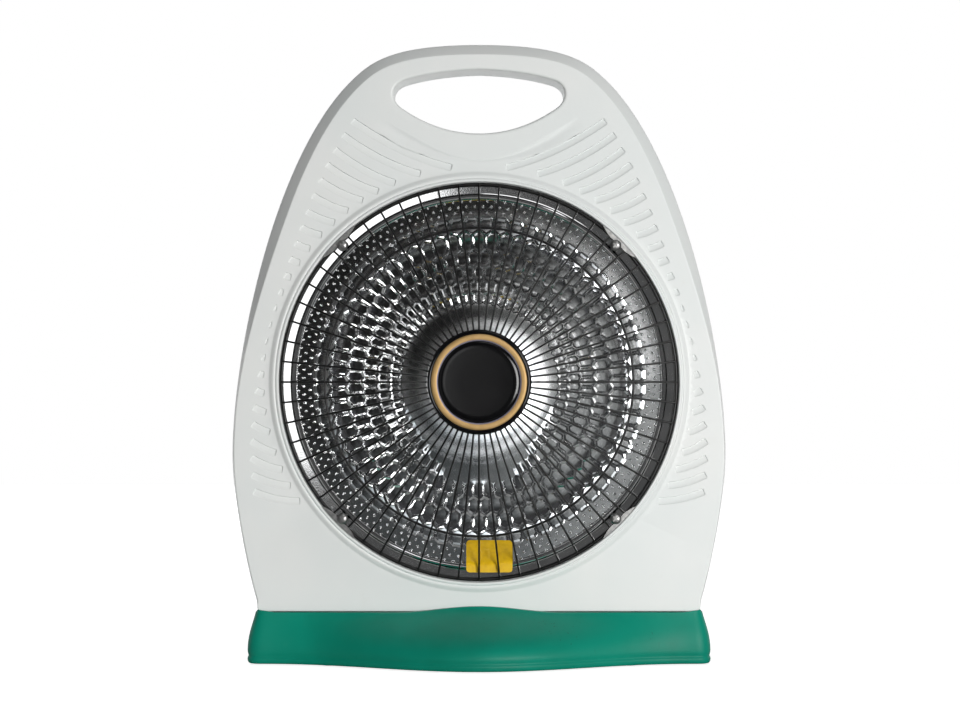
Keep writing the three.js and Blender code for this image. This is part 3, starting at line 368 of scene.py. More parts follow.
shoulder = (97.6, 443.2)
slope = 0.77
before_it, after_it = [(shoulder[0] + reach * math.cos(slope), shoulder[1] - reach * math.sin(slope))
                       for reach in (-20.5, 83)]
widest = (188.6, 158)
foot_side = (170.0, FOOT_Z + 7)
HOUSING = with_mirror(
    steered([(0, CROWN), (67, CROWN), before_it, shoulder], 26)[:-1]
    + steered([shoulder, after_it, (widest[0], 233), widest], 44)[:-1]
    + steered([widest, (widest[0], 122), (175, FOOT_Z + 22), foot_side], 22)[:-1]
    + steered([foot_side, (169, FOOT_Z), (163, FOOT_Z)], 6)
    + [(x, FOOT_Z) for x in (140, 110, 80, 50, 20)])
roll_low, roll_gain = 0.8, 6.4
waist_z, shoulder_z = 190, 350
foot_blend = FOOT_Z + 9
foot_inset = 0.6


def roll(p):
    """Extra width of the chamfered edge at a point of the outline."""
    return roll_low + roll_gain * smooth(p[1], waist_z, shoulder_z)


def edge_inset(p):
    """How far the flat face stays inside the outline; the foot of the case has no chamfer."""
    return ((DRAFT + roll(p)) * smooth(p[1], FOOT_Z - 1, foot_blend)
            + foot_inset * (1 - smooth(p[1], FOOT_Z, foot_blend)))


def lining(p):
    """How far the inside of the face stays inside the outline."""
    return DRAFT + WALL + roll(p) * 0.6


HANDLE = with_mirror(
    steered([(0, 449), (33.6, 448), (56, 441)], 20)[:-1]
    + steered([(56, 441), (68, 437), (67, 424.5), (56, 418.5)], 18)[:-1]
    + steered([(56, 418.5), (29.7, 401), (0, 401)], 20))

white_shell = Finish("white_housing", Roughness=0.36, Specular_IOR_Level=0.5)
cloud = white_shell.noise(0.09, 2.0)
grain = white_shell.noise(0.0011, 4.0, 0.6)
grime = white_shell.noise(0.02, 5.0, 0.7).fit(0.58, 0.8)
white_tone = white_shell.mix(cloud.fit(0.35, 0.7), (0.80, 0.832, 0.822, 1), (0.84, 0.856, 0.842, 1))
white_shell.paint(white_shell.mix(grime * 0.35, white_tone, (0.76, 0.765, 0.73, 1)))
white_shell.rough(0.33 + 0.12 * grain + 0.05 * grime)
white_shell.bump(grain, 0.00006, 0.35)

GROOVE_RIM = 0.35
end_steps = [0.18, 0.45, 0.8, 1.2]


def groove(skin, centre, half, profile, ends):
    """A recess along a centre line in the face. `centre` gives (point, unit tangent) at a distance,
    `half` its half width there, `profile` its depth across, from -1 to 1, and `ends` its first and
    last distance with the rounding of the corners. Returns its edge as a hole for the face."""
    start, stop, corner = ends
    length = stop - start
    middle = [start + length * k / 14 for k in range(1, 14)]
    stations = ([start - GROOVE_RIM, start] + [start + s for s in end_steps]
                + [s for s in middle if start + 2 < s < stop - 2]
                + [stop - s for s in reversed(end_steps)] + [stop, stop + GROOVE_RIM])
    across = [-1.0, -0.95, -0.87, -0.76, -0.4, 0.0, 0.4, 0.76, 0.87, 0.95, 1.0]
    rows = []
    for s in stations:
        point, tangent = centre(min(max(s, start), stop))
        point = Vector(point) + Vector(tangent) * (s - min(max(s, start), stop))
        sideways = Vector((-tangent[1], tangent[0]))
        inner = min(max(s - start, 0), max(stop - s, 0), corner)
        square = half(s) - (corner - math.sqrt(corner ** 2 - (corner - inner) ** 2))
        fade = smooth(min(s - start, stop - s), 0, 0.9)
        row = [(-square - GROOVE_RIM, 0.0)]
        row += [(square * a, fade * profile(a, s)) for a in across]
        row.append((square + GROOVE_RIM, 0.0))
        rows.append([(point.x + sideways.x * w, FACE_Y + depth, point.y + sideways.y * w)
                     for w, depth in row])
    skin.strip(rows, closed=False)
    border = ([r[0] for r in rows] + rows[-1][1:-1] + [r[-1] for r in reversed(rows)]
              + list(reversed(rows[0][1:-1])))
    return [(x, z) for x, _, z in border]


flute_mean, flute_lean = 0.9, 0.45
upper_wall, lower_wall = 0.14, 0.3


def flute_depth(a, up):
    """Deepest and steepest at the upper edge, where `up` times a is 1."""
    wall = upper_wall if up * a > 0 else lower_wall
    return (flute_mean + flute_lean * up * a) * smooth(1 - abs(a), 0.0, wall)


front = Skin()
edge_round, flute_margin = 0.7, 12.7
face_edge = grown(HOUSING, lambda p: -edge_inset(p) - edge_round)
fluted_edge = [p for p in grown(HOUSING, lambda p: -(DRAFT + roll(p)) - flute_margin)
               if p[0] > 1 and 90 < p[1] < 452]


def marks_along(line):
    """The distance along a line of points at which each of them lies."""
    marks = [0.0]
    for a, b in zip(line, line[1:]):
        marks.append(marks[-1] + math.dist(a, b))
    return marks


def locate(marks, distance):
    """The stretch between marks that a distance falls in, and how much of it is passed."""
    i = max(k for k in range(len(marks) - 1) if marks[k] <= max(distance, 0))
    return i, (distance - marks[i]) / (marks[i + 1] - marks[i])


edge_marks = marks_along(fluted_edge)


def edge_distance(z):
    """How far along the fluted edge a height is reached."""
    for i, (upper, lower) in enumerate(zip(fluted_edge, fluted_edge[1:])):
        if upper[1] >= z >= lower[1]:
            part = (upper[1] - z) / (upper[1] - lower[1])
            return edge_marks[i] + part * (edge_marks[i + 1] - edge_marks[i])
    return edge_marks[-1]


FLUTES = 24
flute_half = 5.7 / 2
first_flute, last_flute = edge_distance(CROWN - 60.2), edge_distance(DISH_Z - 82.6)
# Their inner ends stand round the bezel at even angles; the first few are turned up to meet it.
inner_radius, bezel_foot = BEZEL + 1.2, BEZEL - 1.2
first_angle, angle_step = 76.7, 4.8
turned_up, turned_flutes = 6.9, 2.3
sag = 0.11
steepest, eased, regained = 33, 15, 8
shortest, trim = 3.2, 0.4
holes = []
for side in (1, -1):
    for index in range(FLUTES):
        i, part = locate(edge_marks, first_flute + (last_flute - first_flute) * index / (FLUTES - 1))
        outer = tuple(a + (b - a) * part for a, b in zip(fluted_edge[i], fluted_edge[i + 1]))
        early = max(0, (turned_flutes - index) / turned_flutes)
        angle = math.radians(first_angle - angle_step * index + turned_up * early ** 1.5)
        inner = (inner_radius * math.cos(angle), DISH_Z + inner_radius * math.sin(angle))
        # Where the face is narrow they run flatter.
        tilt = math.radians(steepest - eased * smooth(index, 5, 10) + regained * smooth(index, 15, 20))
        if outer[1] - inner[1] > (outer[0] - inner[0]) * math.tan(tilt):
            down = Vector((-math.cos(tilt), -math.sin(tilt)))
            from_dish = Vector((outer[0], outer[1] - DISH_Z))
            nearer = -from_dish.dot(down)
            nearer -= math.sqrt(max(nearer ** 2 - from_dish.length_squared + inner_radius ** 2, 0))
            inner = (outer[0] + down.x * nearer, outer[1] + down.y * nearer)
        span = math.dist(outer, inner)
        bow = ((outer[0] + inner[0]) / 2, (outer[1] + inner[1]) / 2 - sag * span)
        line = [(side * x, z) for x, z in steered([outer, bow, inner], 60)]
        marks = marks_along(line)

        def centre(s, line=line, marks=marks):
            i, part = locate(marks, s)
            along = (Vector(line[i + 1]) - Vector(line[i])).normalized()
            return Vector(line[i]).lerp(Vector(line[i + 1]), part), along

        stop = marks[-1]
        while True:
            point, tangent = centre(stop)
            corners = [point + Vector((-tangent.y, tangent.x)) * w + tangent * 0.5
                       for w in (-flute_half - GROOVE_RIM, 0, flute_half + GROOVE_RIM)]
            if min(math.hypot(c.x, c.y - DISH_Z) for c in corners) > bezel_foot or stop < shortest:
                break
            stop -= trim
        up = -side
        holes.append(groove(front, centre, lambda s: flute_half,
                            lambda a, s, up=up: flute_depth(a, up), (0.0, stop, 1.3)))

# A soft hollow follows the lower edge of the handle opening and dies out towards its middle.
brow_half = 78.0
brow_z, brow_rise, brow_reach, brow_curve = 380, 32.5, 82, 1.9
brow_slim, brow_wider = 1.3, 4.2
brow_shallow, brow_deeper = 0.25, 0.75


def brow(s):
    x = s - brow_half
    z = brow_z + brow_rise * (abs(x) / brow_reach) ** brow_curve
    steep = brow_rise * brow_curve / brow_reach * (abs(x) / brow_reach) ** (brow_curve - 1)
    return Vector((x, z)), Vector((1, steep if x > 0 else -steep)).normalized()


def brow_width(s):
    out = abs(s - brow_half) / brow_half
    return brow_slim + brow_wider * smooth(out, 0.15, 0.75)


def brow_depth(a, s):
    out = abs(s - brow_half) / brow_half
    steep = smooth(a, 1.0, 0.45) * smooth(a, -1.0, 0.55)
    depth = brow_shallow + brow_deeper * smooth(out, 0.1, 0.7)
    return depth * smooth(1.0 - out, 0.0, 0.3) * steep


holes.append(groove(front, brow, brow_width, brow_depth, (0.0, 2 * brow_half, 1.2)))

# The chamfer, the side wall down to the parting line and the inside of the shell.
chamfer_depth = 11.0
chamfer_end, chamfer_bow = 1.6, 1.12
chamfer_start, chamfer_parts = 0.06, 8
outside = [(FACE_Y, lambda p: edge_inset(p) + edge_round), (FACE_Y, lambda p: edge_inset(p) + 0.3),
           (FACE_Y + 0.12, lambda p: edge_inset(p) - 0.05), (FACE_Y + 0.45, lambda p: edge_inset(p) - 0.4)]
for k in range(1, chamfer_parts + 1):
    u = chamfer_start + (1 - chamfer_start) * k / chamfer_parts
    outside.append((FACE_Y + chamfer_depth * u, lambda p, u=u: (
        min(chamfer_end, edge_inset(p)) + max(0, edge_inset(p) - chamfer_end) * (1 - u) ** chamfer_bow)))
outside += [(FACE_Y + chamfer_depth + 1.2, lambda p: min(1.35, edge_inset(p))),
            (FACE_Y + chamfer_depth + 3, lambda p: 1.05 * smooth(p[1], FOOT_Z - 1, foot_blend)),
            (PARTING_Y - 0.3, lambda p: 0.02), (PARTING_Y, lambda p: 0.3)]
inside = [(PARTING_Y, lambda p: WALL), (FACE_Y + chamfer_depth, lambda p: DRAFT / 2 + WALL),
          (FACE_Y + WALL, lining)]
front.strip([upright_ring(grown(HOUSING, lambda p, f=f: -f(p)), y) for y, f in outside + inside])
handle_lip = 2.6
front.strip([upright_ring(grown(HANDLE, growth), y) for growth, y in (
    (handle_lip, FACE_Y), (2.0, FACE_Y), (1.35, FACE_Y + 0.14), (0.8, FACE_Y + 0.5), (0.35, FACE_Y + 1.2),
    (0.08, FACE_Y + 2.4), (0.0, FACE_Y + 4.0), (0.0, PARTING_Y), (WALL, PARTING_Y),
    (WALL, FACE_Y + WALL))])
bezel_start, bezel_proud, ledge_depth = 1.6, 3.5, 5.2
ledge_y, ledge_end = FACE_Y - bezel_proud + ledge_depth, APERTURE - 9
bezel_back = 155.0
bezel_profile = [(BEZEL - across, FACE_Y - proud) for across, proud in (
    (bezel_start, 0), (2.1, 0.12), (2.7, 0.45), (3.4, 1.05), (4.2, 1.75), (5.1, 2.3), (5.9, 2.55),
    (6.5, 2.45), (6.9, 2.1), (7.2, 2.15), (7.6, 2.8), (8.1, 3.3), (8.8, bezel_proud), (9.4, 3.4),
    (9.85, 3.0))]
front.turned(bezel_profile + [
    (APERTURE, FACE_Y - 2.5), (APERTURE, ledge_y - 0.4), (APERTURE - 0.4, ledge_y),
    (ledge_end, ledge_y), (ledge_end, ledge_y + WALL), (bezel_back - 1.6, ledge_y + WALL),
    (bezel_back, FACE_Y + WALL)])
front.sheet(face_edge, [grown(HANDLE, handle_lip), circle(BEZEL - bezel_start), *holes], FACE_Y)
front.sheet(grown(HOUSING, lambda p: -lining(p)), [grown(HANDLE, WALL), circle(bezel_back)], FACE_Y + WALL)
front_housing = moulded("front_shell", front, white_shell, 32)
house(front_housing, "white_housing", "front_housing")

# ---- Rear housing -------------------------------------------------------------------------------
# The back half of the case: a shallow pan in the same white plastic, domed out over the dish, with
# two fans of cooling slots, screw posts, and holes for the rocker and the mains inlet.
REAR_START = PARTING_Y + 0.3
PAN_Y = 0.0
HUMP = 129.0
HUMP_DEPTH = 70.0
CASE_SCREWS = [(side * x, z) for x, z in ((93, 414), (160, 262), (151, 92)) for side in (1, -1)]
ROCKER_X, ROCKER_Z = -118.0, 78.0
GLAND_X, GLAND_Z = 118.0, 66.0
SCREW_HOLE, SCREW_POST, GLAND_HOLE = 2.3, 5.0, 6.3


def settle(thing, finish):
    """Applies the modifiers, leaving a plain mesh in one finish."""
    state = thing.evaluated_get(bpy.context.evaluated_depsgraph_get())
    mesh = bpy.data.meshes.new_from_object(state)
    thing.modifiers.clear()
    thing.data = mesh
    mesh.materials.clear()
    mesh.materials.append(finish.material)
    mesh.polygons.foreach_set("material_index", [0] * len(mesh.polygons))


def carve(thing, finish, angle, *steps):
    """Exact booleans, one after another; the tools are used up."""
    for operation, tool in steps:
        change = thing.modifiers.new("carve", "BOOLEAN")
        change.operation, change.solver, change.object = operation, "EXACT", tool
    settle(thing, finish)
    for _, tool in steps:
        bpy.data.objects.remove(tool)
    shade(thing.data, angle)


def new_graph(name, values):
    """An empty Geometry Nodes graph with a named input for each value, and the inputs' identifiers."""
    tree = bpy.data.node_groups.new(name, "GeometryNodeTree")
    tree.interface.new_socket("Geometry", in_out="INPUT", socket_type="NodeSocketGeometry")
    keys = {}
    for label, value in values.items():
        kind = {int: "Int", float: "Float"}.get(type(value), "Object")
        keys[label] = tree.interface.new_socket(
            label, in_out="INPUT", socket_type="NodeSocket" + kind).identifier
    tree.interface.new_socket("Geometry", in_out="OUTPUT", socket_type="NodeSocketGeometry")
    return Graph(tree), keys


def produce(name, start, graph, result, finish, keys, values):
    """Ends a graph in Realize Instances and Set Material, and runs it on an object from a mesh."""
    real = graph.node("GeometryNodeRealizeInstances", None, {"Geometry": result})
    coated = graph.node("GeometryNodeSetMaterial", None, {"Geometry": real, "Material": finish.material})
    graph.feed(graph.node("NodeGroupOutput").inputs[0], coated)
    thing = link(name, start)
    change = thing.modifiers.new("graph", "NODES")
    change.node_group = graph.tree
    for label, key in keys.items():
        change[key] = values[label]
    settle(thing, finish)
    return thing


def repeated(name, source, finish, count, step, first=0.0, wire=0.0):
    """Geometry Nodes: copies of a mesh turned round the dish's axis, or of a line made into wire."""
    values = {"Count": count, "Step": math.radians(step), "First": math.radians(first),
              "Wire Radius": wire}
    graph, keys = new_graph(name, values)
    given = graph.node("NodeGroupInput")
    one = given
    if wire:
        line = graph.node("GeometryNodeMeshToCurve", None, {"Mesh": given})
        section = graph.node("GeometryNodeCurvePrimitiveCircle", {"mode": "RADIUS"},
                             {"Resolution": 12, "Radius": given.out("Wire Radius")})
        one = graph.node("GeometryNodeCurveToMesh", None,
                         {"Curve": line, "Profile Curve": section, "Fill Caps": True})
        one = graph.node("GeometryNodeSetShadeSmooth", None, {"Geometry": one})
    axis = (0, 0, DISH_Z * MM)
    centred = graph.node("GeometryNodeTransform", None,
                         {"Geometry": one, "Translation": (0, 0, -DISH_Z * MM)})
    stands = graph.node("GeometryNodeMeshLine", {"mode": "OFFSET"}, {
        "Count": given.out("Count"), "Start Location": axis, "Offset": (0, 0, 0)})
    turn = graph.node("GeometryNodeInputIndex") * given.out("Step") + given.out("First")
    spin = graph.node("ShaderNodeCombineXYZ", None, {"Y": turn})
    copies = graph.node("GeometryNodeInstanceOnPoints", None,
                        {"Points": stands, "Instance": centred, "Rotation": spin})
    return produce(name, source, graph, copies, finish, keys, values)


def capped(rings):
    """A solid through rings of equal count, closed by its first and last."""
    skin = Skin().strip(rings)
    count, total = len(rings[0]), len(skin.points)
    skin.faces.append(tuple(range(count)))
    skin.faces.append(tuple(range(total - count, total)))
    return skin


def prism(outline, near, far):
    """A solid along Y with a flat outline."""
    return capped([upright_ring(outline, y) for y in (near, far)])


def box_outline(left, right, low, high):
    return [(left, low), (right, low), (right, high), (left, high)]


rear = Skin()
pan_inset, lining_inset, handle_back, hump_foot = 7.6, WALL + 6, 2.0, HUMP + 4.4
pan_round = [(REAR_START + 0.3, 0.0), (-10.5, 0.12), (-8.2, 0.4)]
pan_round += [(-6 + 6 * math.sin(a), 0.78 + 5.7 * (1 - math.cos(a)))
              for a in (math.pi / 2 * k / 8 for k in range(9))]
rear.strip([upright_ring(grown(HOUSING, -inset), y) for y, inset in (
    [(PAN_Y, pan_inset)] + list(reversed(pan_round)) + [
        (REAR_START, 0.3), (REAR_START, WALL), (-6.0, WALL + 0.8), (-4.2, WALL + 2.4),
        (-WALL, lining_inset)])])
rear.strip([upright_ring(grown(HANDLE, growth), y) for growth, y in (
    (handle_back, PAN_Y), (1.3, -0.12), (0.7, -0.5), (0.25, -1.2), (0.0, -2.2), (0.0, REAR_START),
    (WALL, REAR_START), (WALL, -WALL))])


hump_flat, hump_round = 0.3, 0.82


def hump(thinner):
    """The dome's profile, or its lining's: a flat middle that rounds down to the pan."""
    arcs = [math.pi / 2 * k / 36 for k in range(1, 37)]
    top = HUMP_DEPTH - thinner
    return [((HUMP - thinner) * (hump_flat + (1 - hump_flat) * math.cos(a) ** hump_round), top * math.sin(a))
            for a in arcs] + [(24, top), (12, top), (0.001, top)]


rear.turned([(hump_foot, PAN_Y), (HUMP + 2.4, 0.3), (HUMP + 1.1, 1.0), (HUMP + 0.3, 2.0)] + hump(0)[1:])
rear.turned([(HUMP - WALL, -WALL)] + hump(WALL))
rear_holes = [grown(HANDLE, handle_back), circle(hump_foot)]
rear_inner = [grown(HANDLE, WALL), circle(HUMP - WALL)]
for x, z in CASE_SCREWS:
    rear.turned([(SCREW_HOLE, PAN_Y), (SCREW_HOLE, REAR_START), (SCREW_POST, REAR_START),
                 (SCREW_POST, -WALL)], 32, x, z)
    rear_holes.append(circle(SCREW_HOLE, 32, x, z))
    rear_inner.append(circle(SCREW_POST, 32, x, z))
rear.turned([(GLAND_HOLE, PAN_Y), (GLAND_HOLE, -WALL)], 48, GLAND_X, GLAND_Z)
switch_wide, switch_tall = 6.6, 9.6
switch_hole = box_outline(ROCKER_X - switch_wide, ROCKER_X + switch_wide,
                          ROCKER_Z - switch_tall, ROCKER_Z + switch_tall)
rear.strip([upright_ring(switch_hole, y) for y in (PAN_Y, -WALL)])
for group in (rear_holes, rear_inner):
    group += [circle(GLAND_HOLE, 48, GLAND_X, GLAND_Z), switch_hole]
rear.sheet(grown(HOUSING, -pan_inset), rear_holes, PAN_Y)
rear.sheet(grown(HOUSING, -lining_inset), rear_inner, -WALL)
rear_housing = moulded("rear_shell", rear, white_shell, 32, merge=0.02)
vent_half, vent_top, vent_foot = 2.5, DISH_Z + 99.5, DISH_Z + 70.5
VENTS, vent_step = 9, 12
slot_end = [(vent_half * math.cos(a), vent_half * math.sin(a)) for a in (math.pi * k / 8 for k in range(9))]
slot = [(x, vent_top + z) for x, z in slot_end] + [(-x, vent_foot - z) for x, z in slot_end]
vents = [moulded("vents", prism([(x, DISH_Z + side * (z - DISH_Z)) for x, z in slot], 8, 82),
                 white_shell) for side in (1, -1)]
vent_fans = []
for single in vents:
    vent_fans.append(repeated("vent_fan", single.data, white_shell, VENTS, vent_step,
                              first=-vent_step * (VENTS - 1) / 2))
    bpy.data.objects.remove(single)
carve(rear_housing, white_shell, 32, *(("DIFFERENCE", fan) for fan in vent_fans))
house(rear_housing, "white_housing", "rear_housing")

# ---- Base shell ---------------------------------------------------------------------------------
# The stand: one teal injection-moulded skirt in semi-gloss plastic. It swells out in front and
# behind like a bell, falls in a soft ogee to a rolled lip, and rises in an arch before the case.
BASE_HALF, BASE_DEPTH = 175.0, 100.0
DECK_Z, SKIRT_TOP, LIP_TOP = 39.3, 44.8, 7
ogee = 1.4


def base_section(z, inset=0.0):
    """The skirt's level outline at a height: widest at the lip, drawn in under the case."""
    rise = min(max((z - LIP_TOP) / (SKIRT_TOP - LIP_TOP), 0), 1)
    reach = 1 - smooth(rise ** ogee, 0, 1)
    top, bottom = (BASE_HALF - 6.6, 44.0, 42.5, 8.0), (BASE_HALF, BASE_DEPTH, 49.0, 12.0)
    half, middle, end, corner = (t + (b - t) * reach for t, b in zip(top, bottom))
    quarter = (steered([(0, middle), (58, middle), (100, end), (half - corner, end)], 60)[:-1]
               + steered([(half - corner, end), (half, end), (half, end - corner)], 12))
    right = quarter + [(x, -y) for x, y in reversed(quarter)]
    return grown(with_mirror(right), -inset)


teal = Finish("teal_base", Specular_IOR_Level=0.22)
teal_cloud = teal.noise(0.07, 3.0)
teal_grain = teal.noise(0.0009, 3.0)
dust = teal.noise(0.013, 6.0, 0.7)
scuff = teal.noise(0.0016, 2.0, 0.5, stretch=(1, 1, 0.07)).fit(0.66, 0.72)
scuff_patch = teal.noise(0.05, 1.0).fit(0.58, 0.66)
teal_tone = teal.mix(teal_cloud.fit(0.3, 0.7), rgb(0, 128, 106), rgb(0, 141, 118))
teal_dusty = teal.mix(dust.fit(0.55, 0.85) * 0.15, teal_tone, rgb(60, 150, 126))
teal.paint(teal.mix(scuff * scuff_patch * 0.7, teal_dusty, rgb(20, 70, 60)))
teal.rough(0.34 + 0.14 * teal_grain + 0.12 * dust)
teal.bump(teal_grain + scuff * scuff_patch, 0.00005, 0.4)

lip = [(1.0, 2.2), (1.15, 1.4), (1.5, 0.85), (2.1, 0.45), (2.9, 0.15), (3.8, 0.0), (4.8, 0.0), (5.4, 0.15),
       (6.0, 0.5), (6.6, 0.75), (7.3, 0.7), (8.3, 0.4), (9.6, 0.12), (11.0, 0.0)]
lip_end = lip[-1][0]
heights = lip + [(lip_end + (SKIRT_TOP - lip_end) * k / 30, 0.0) for k in range(1, 31)]


def lofted(sections):
    """A solid through level sections."""
    return capped([[(x, y, z) for x, y in outline] for z, outline in sections])


base = moulded("base_shell_visual", lofted([(z, base_section(z, inset)) for z, inset in heights]), teal, 40)
hollow_heights = [0.0, 5.8, 10, 15, 20, 25, 30, DECK_Z - WALL]
lip_high, lip_wall, skirt_wall = 6, 3.7, 2.25
base_hollow = moulded("base_hollow", lofted([
    (z, base_section(0, lip_wall) if z < lip_high else base_section(z + 2, skirt_wall))
    for z in hollow_heights]), teal)
arch_half, arch_rise, arch_steps = 64, 4.5, 48
arch_end = [(180, 41.8), (167, 41.2), (154, DECK_Z), (arch_half, DECK_Z)]
arch_line = [(-180, 0), (180, 0)] + arch_end
arch_line += [(arch_half - 2 * arch_half * k / arch_steps,
               DECK_Z + arch_rise * math.cos(math.pi / 2 * (1 - 2 * k / arch_steps)) ** 2)
              for k in range(1, arch_steps)]
arch_line += [(-x, z) for x, z in reversed(arch_end)]
arch = moulded("arch", prism(arch_line, -106, 106), teal)
deck = moulded("deck", prism(box_outline(-180, 180, DECK_Z, 48), FACE_Y - 0.3, 106), teal)
carve(base, teal, 32, ("INTERSECT", arch), ("DIFFERENCE", base_hollow), ("DIFFERENCE", deck))
house(base, "teal_base", "base_shell")

# ---- Dish ---------------------------------------------------------------------------------------
# Spun and embossed from bright aluminium sheet: a smooth middle, six rows of hexagonal cells that
# stand staggered round the bowl, three rows of dimples, a bead and a flat rim.
CELLS = 68
HALF_CELL = math.pi / CELLS
RIM_Y = -39.6
ROWS = [62.0, 69.5, 78.4, 89.5, 101.3, 114.0, 124.6]
DISH_FACETS = 4 * CELLS
FOCAL, BOWL_FLOOR = 66.0, 33.59
STEEP_FROM, STEEPER = 122, 0.1


def bowl_y(radius):
    """The paraboloid of the bowl, a little steeper in its outermost band."""
    return BOWL_FLOOR - radius ** 2 / (4 * FOCAL) - STEEPER * max(radius - STEEP_FROM, 0)


def at_polar(radius, turn, y):
    return (radius * math.sin(turn), y, DISH_Z + radius * math.cos(turn))


bright = Finish("bright_dish", Metallic=1.0)
haze = bright.noise(0.03, 4.0)
pitting = bright.noise(0.0012, 3.0)
bright_dust = bright.noise(0.006, 6.0, 0.7).fit(0.6, 0.9)
bright_tone = bright.mix(haze.fit(0.35, 0.65), (0.62, 0.63, 0.635, 1), (0.74, 0.745, 0.75, 1))
bright.paint(bright.mix(bright_dust * 0.3, bright_tone, (0.3, 0.29, 0.27, 1)))
bright.rough(0.04 + 0.08 * haze * pitting + 0.12 * bright_dust)
bright.bump(pitting, 0.00003, 0.25)


def crest(radius):
    """How proud the edges of the cells stand of the bowl."""
    return 1.0 + 0.5 * smooth(radius, 62, 118)


def crest_y(radius):
    return bowl_y(radius) - crest(radius)


def raised(radius, turn):
    return at_polar(radius, turn, crest_y(radius))


def chord(radius, turn):
    return at_polar(radius, turn, bowl_y(radius))


# A cell has a flat floor and six plain walls, or seven in the outermost row, whose cells end flat.
# The walls lie flatter towards the middle of the dish, where the bowl is shallow.
chin_share, flat_chin = 0.29, 0.3
lip_width, draft = 0.18, 0.18
cell = Skin()
for row in range(len(ROWS) - 1):
    low, high = ROWS[row], ROWS[row + 1]
    middle = (low + high) / 2
    steepness = middle / (2 * FOCAL)
    lean = -steepness - STEEPER * smooth(middle, 108, 119)
    shift = HALF_CELL if row % 2 else 0.0
    chin = chin_share * middle * HALF_CELL
    corners = [(-HALF_CELL, low + chin), (0.0, low - chin), (HALF_CELL, low + chin),
               (HALF_CELL, high - chin), (0.0, high + chin), (-HALF_CELL, high - chin)]
    if row == len(ROWS) - 2:
        corners[4:5] = [(part * HALF_CELL, high + flat_chin * chin) for part in (0.5, -0.5)]
    edge = [(radius * math.sin(turn), radius * math.cos(turn)) for turn, radius in corners]
    wall = crest(middle) / (steepness + draft)
    rings = [[(x, crest_y(math.hypot(x, up)), up) for x, up in ring]
             for ring in (edge, grown(edge, -lip_width))]
    floor_edge = grown(edge, -lip_width - wall)
    rings.append([(x, bowl_y(middle) + lean * (up - middle), up) for x, up in floor_edge])
    cosine, sine = math.cos(shift), math.sin(shift)
    cell.strip([[(x * cosine + up * sine, y, DISH_Z - x * sine + up * cosine) for x, y, up in ring]
                for ring in rings])
    cell.faces.append(tuple(len(cell.points) - len(edge) + i for i in range(len(edge))))
# Fringes join the first and last rows to the smooth bowl.
inner_chin, outer_chin = (chin_share * (a + b) / 2 * HALF_CELL for a, b in (ROWS[:2], ROWS[-2:]))
fringe_in, fringe_out = ROWS[0] - 3.2, ROWS[-1] + 2.0
last = HALF_CELL if len(ROWS) % 2 else 0.0
inner_line = [(ROWS[0] + rise * inner_chin, part * HALF_CELL)
              for rise, part in ((1, -1), (0, -0.5), (-1, 0), (0, 0.5), (1, 1))]
outer_line = [(ROWS[-1] + rise * outer_chin, last + part * HALF_CELL)
              for rise, part in ((-1, -1), (flat_chin, -0.5), (flat_chin, 0), (flat_chin, 0.5), (-1, 1))]
for line, foot, border in ((inner_line, -1.2, fringe_in), (outer_line, 1.3, fringe_out)):
    start = len(cell.points)
    cell.points += [raised(r, t) for r, t in line] + [chord(r + foot, t) for r, t in line]
    cell.points += [chord(border, t) for r, t in line]
    cell.faces += [(start + j + i, start + j + i + 1, start + j + i + 6, start + j + i + 5)
                   for j in (0, 5) for i in range(4)]
wedge = moulded("wedge", cell, bright, 16)
honeycomb = repeated("honeycomb", wedge.data, bright, CELLS, 360 / CELLS)
bpy.data.objects.remove(wedge)
combed = Skin()
combed.points = [tuple(c / MM for c in v.co) for v in honeycomb.data.vertices]
combed.faces = [tuple(p.vertices) for p in honeycomb.data.polygons]
bpy.data.objects.remove(honeycomb)
# Below the middle the sheet is left smooth further out, in a lobe; the cells sink into its edge.
lobe = [(-58, -20), (-37, -62), (-25, -79), (25, -79), (37, -62), (58, -20)]
lobes = [(grown(lobe, reach), relief) for reach, relief in ((0.0, 0.0), (1.5, 0.3), (3.0, 0.65))]
for i, (x, y, z) in enumerate(combed.points):
    radius = math.hypot(x, z - DISH_Z)
    relief = min([1.0] + [share for edge, share in lobes if encloses(edge, x, z - DISH_Z)])
    combed.points[i] = (x, bowl_y(radius) + (y - bowl_y(radius)) * relief, z)
socket_hole, thickness, rim_end = 20.0, 1, 150.7
combed.turned([(r, bowl_y(r)) for r in (socket_hole, *range(23, 59, 3), fringe_in)], DISH_FACETS)
rim_profile = [(r, bowl_y(r)) for r in (fringe_out, 128.5, 130.5, 132.5, 134.5, 136.2, 137.6)]
rim_profile += [(138.2, -40.3), (138.8, -40.9), (139.5, -41.3), (140.3, -41.4), (141.0, -41.0),
                (141.6, -40.3), (142.0, -39.8)]
rim_profile += [(r, RIM_Y) for r in (142.5, 142.7, 143.2, 149.8, 150.3)]
rim_profile += [(rim_end, RIM_Y + 0.35), (rim_end, RIM_Y + thickness)]
back_profile = [(142.4, RIM_Y + thickness), (140.2, RIM_Y + 0.6), (138.4, -38.9)]
back_profile += [(r, bowl_y(r) + thickness)
                 for r in (136, 128, 118, 106, 94, 82, 70, 58, 46, 34, socket_hole)]
back_profile.append((socket_hole, bowl_y(socket_hole)))
combed.turned(rim_profile + back_profile, DISH_FACETS)
reflector = moulded("reflector_visual", combed, bright, 16, merge=0.01)

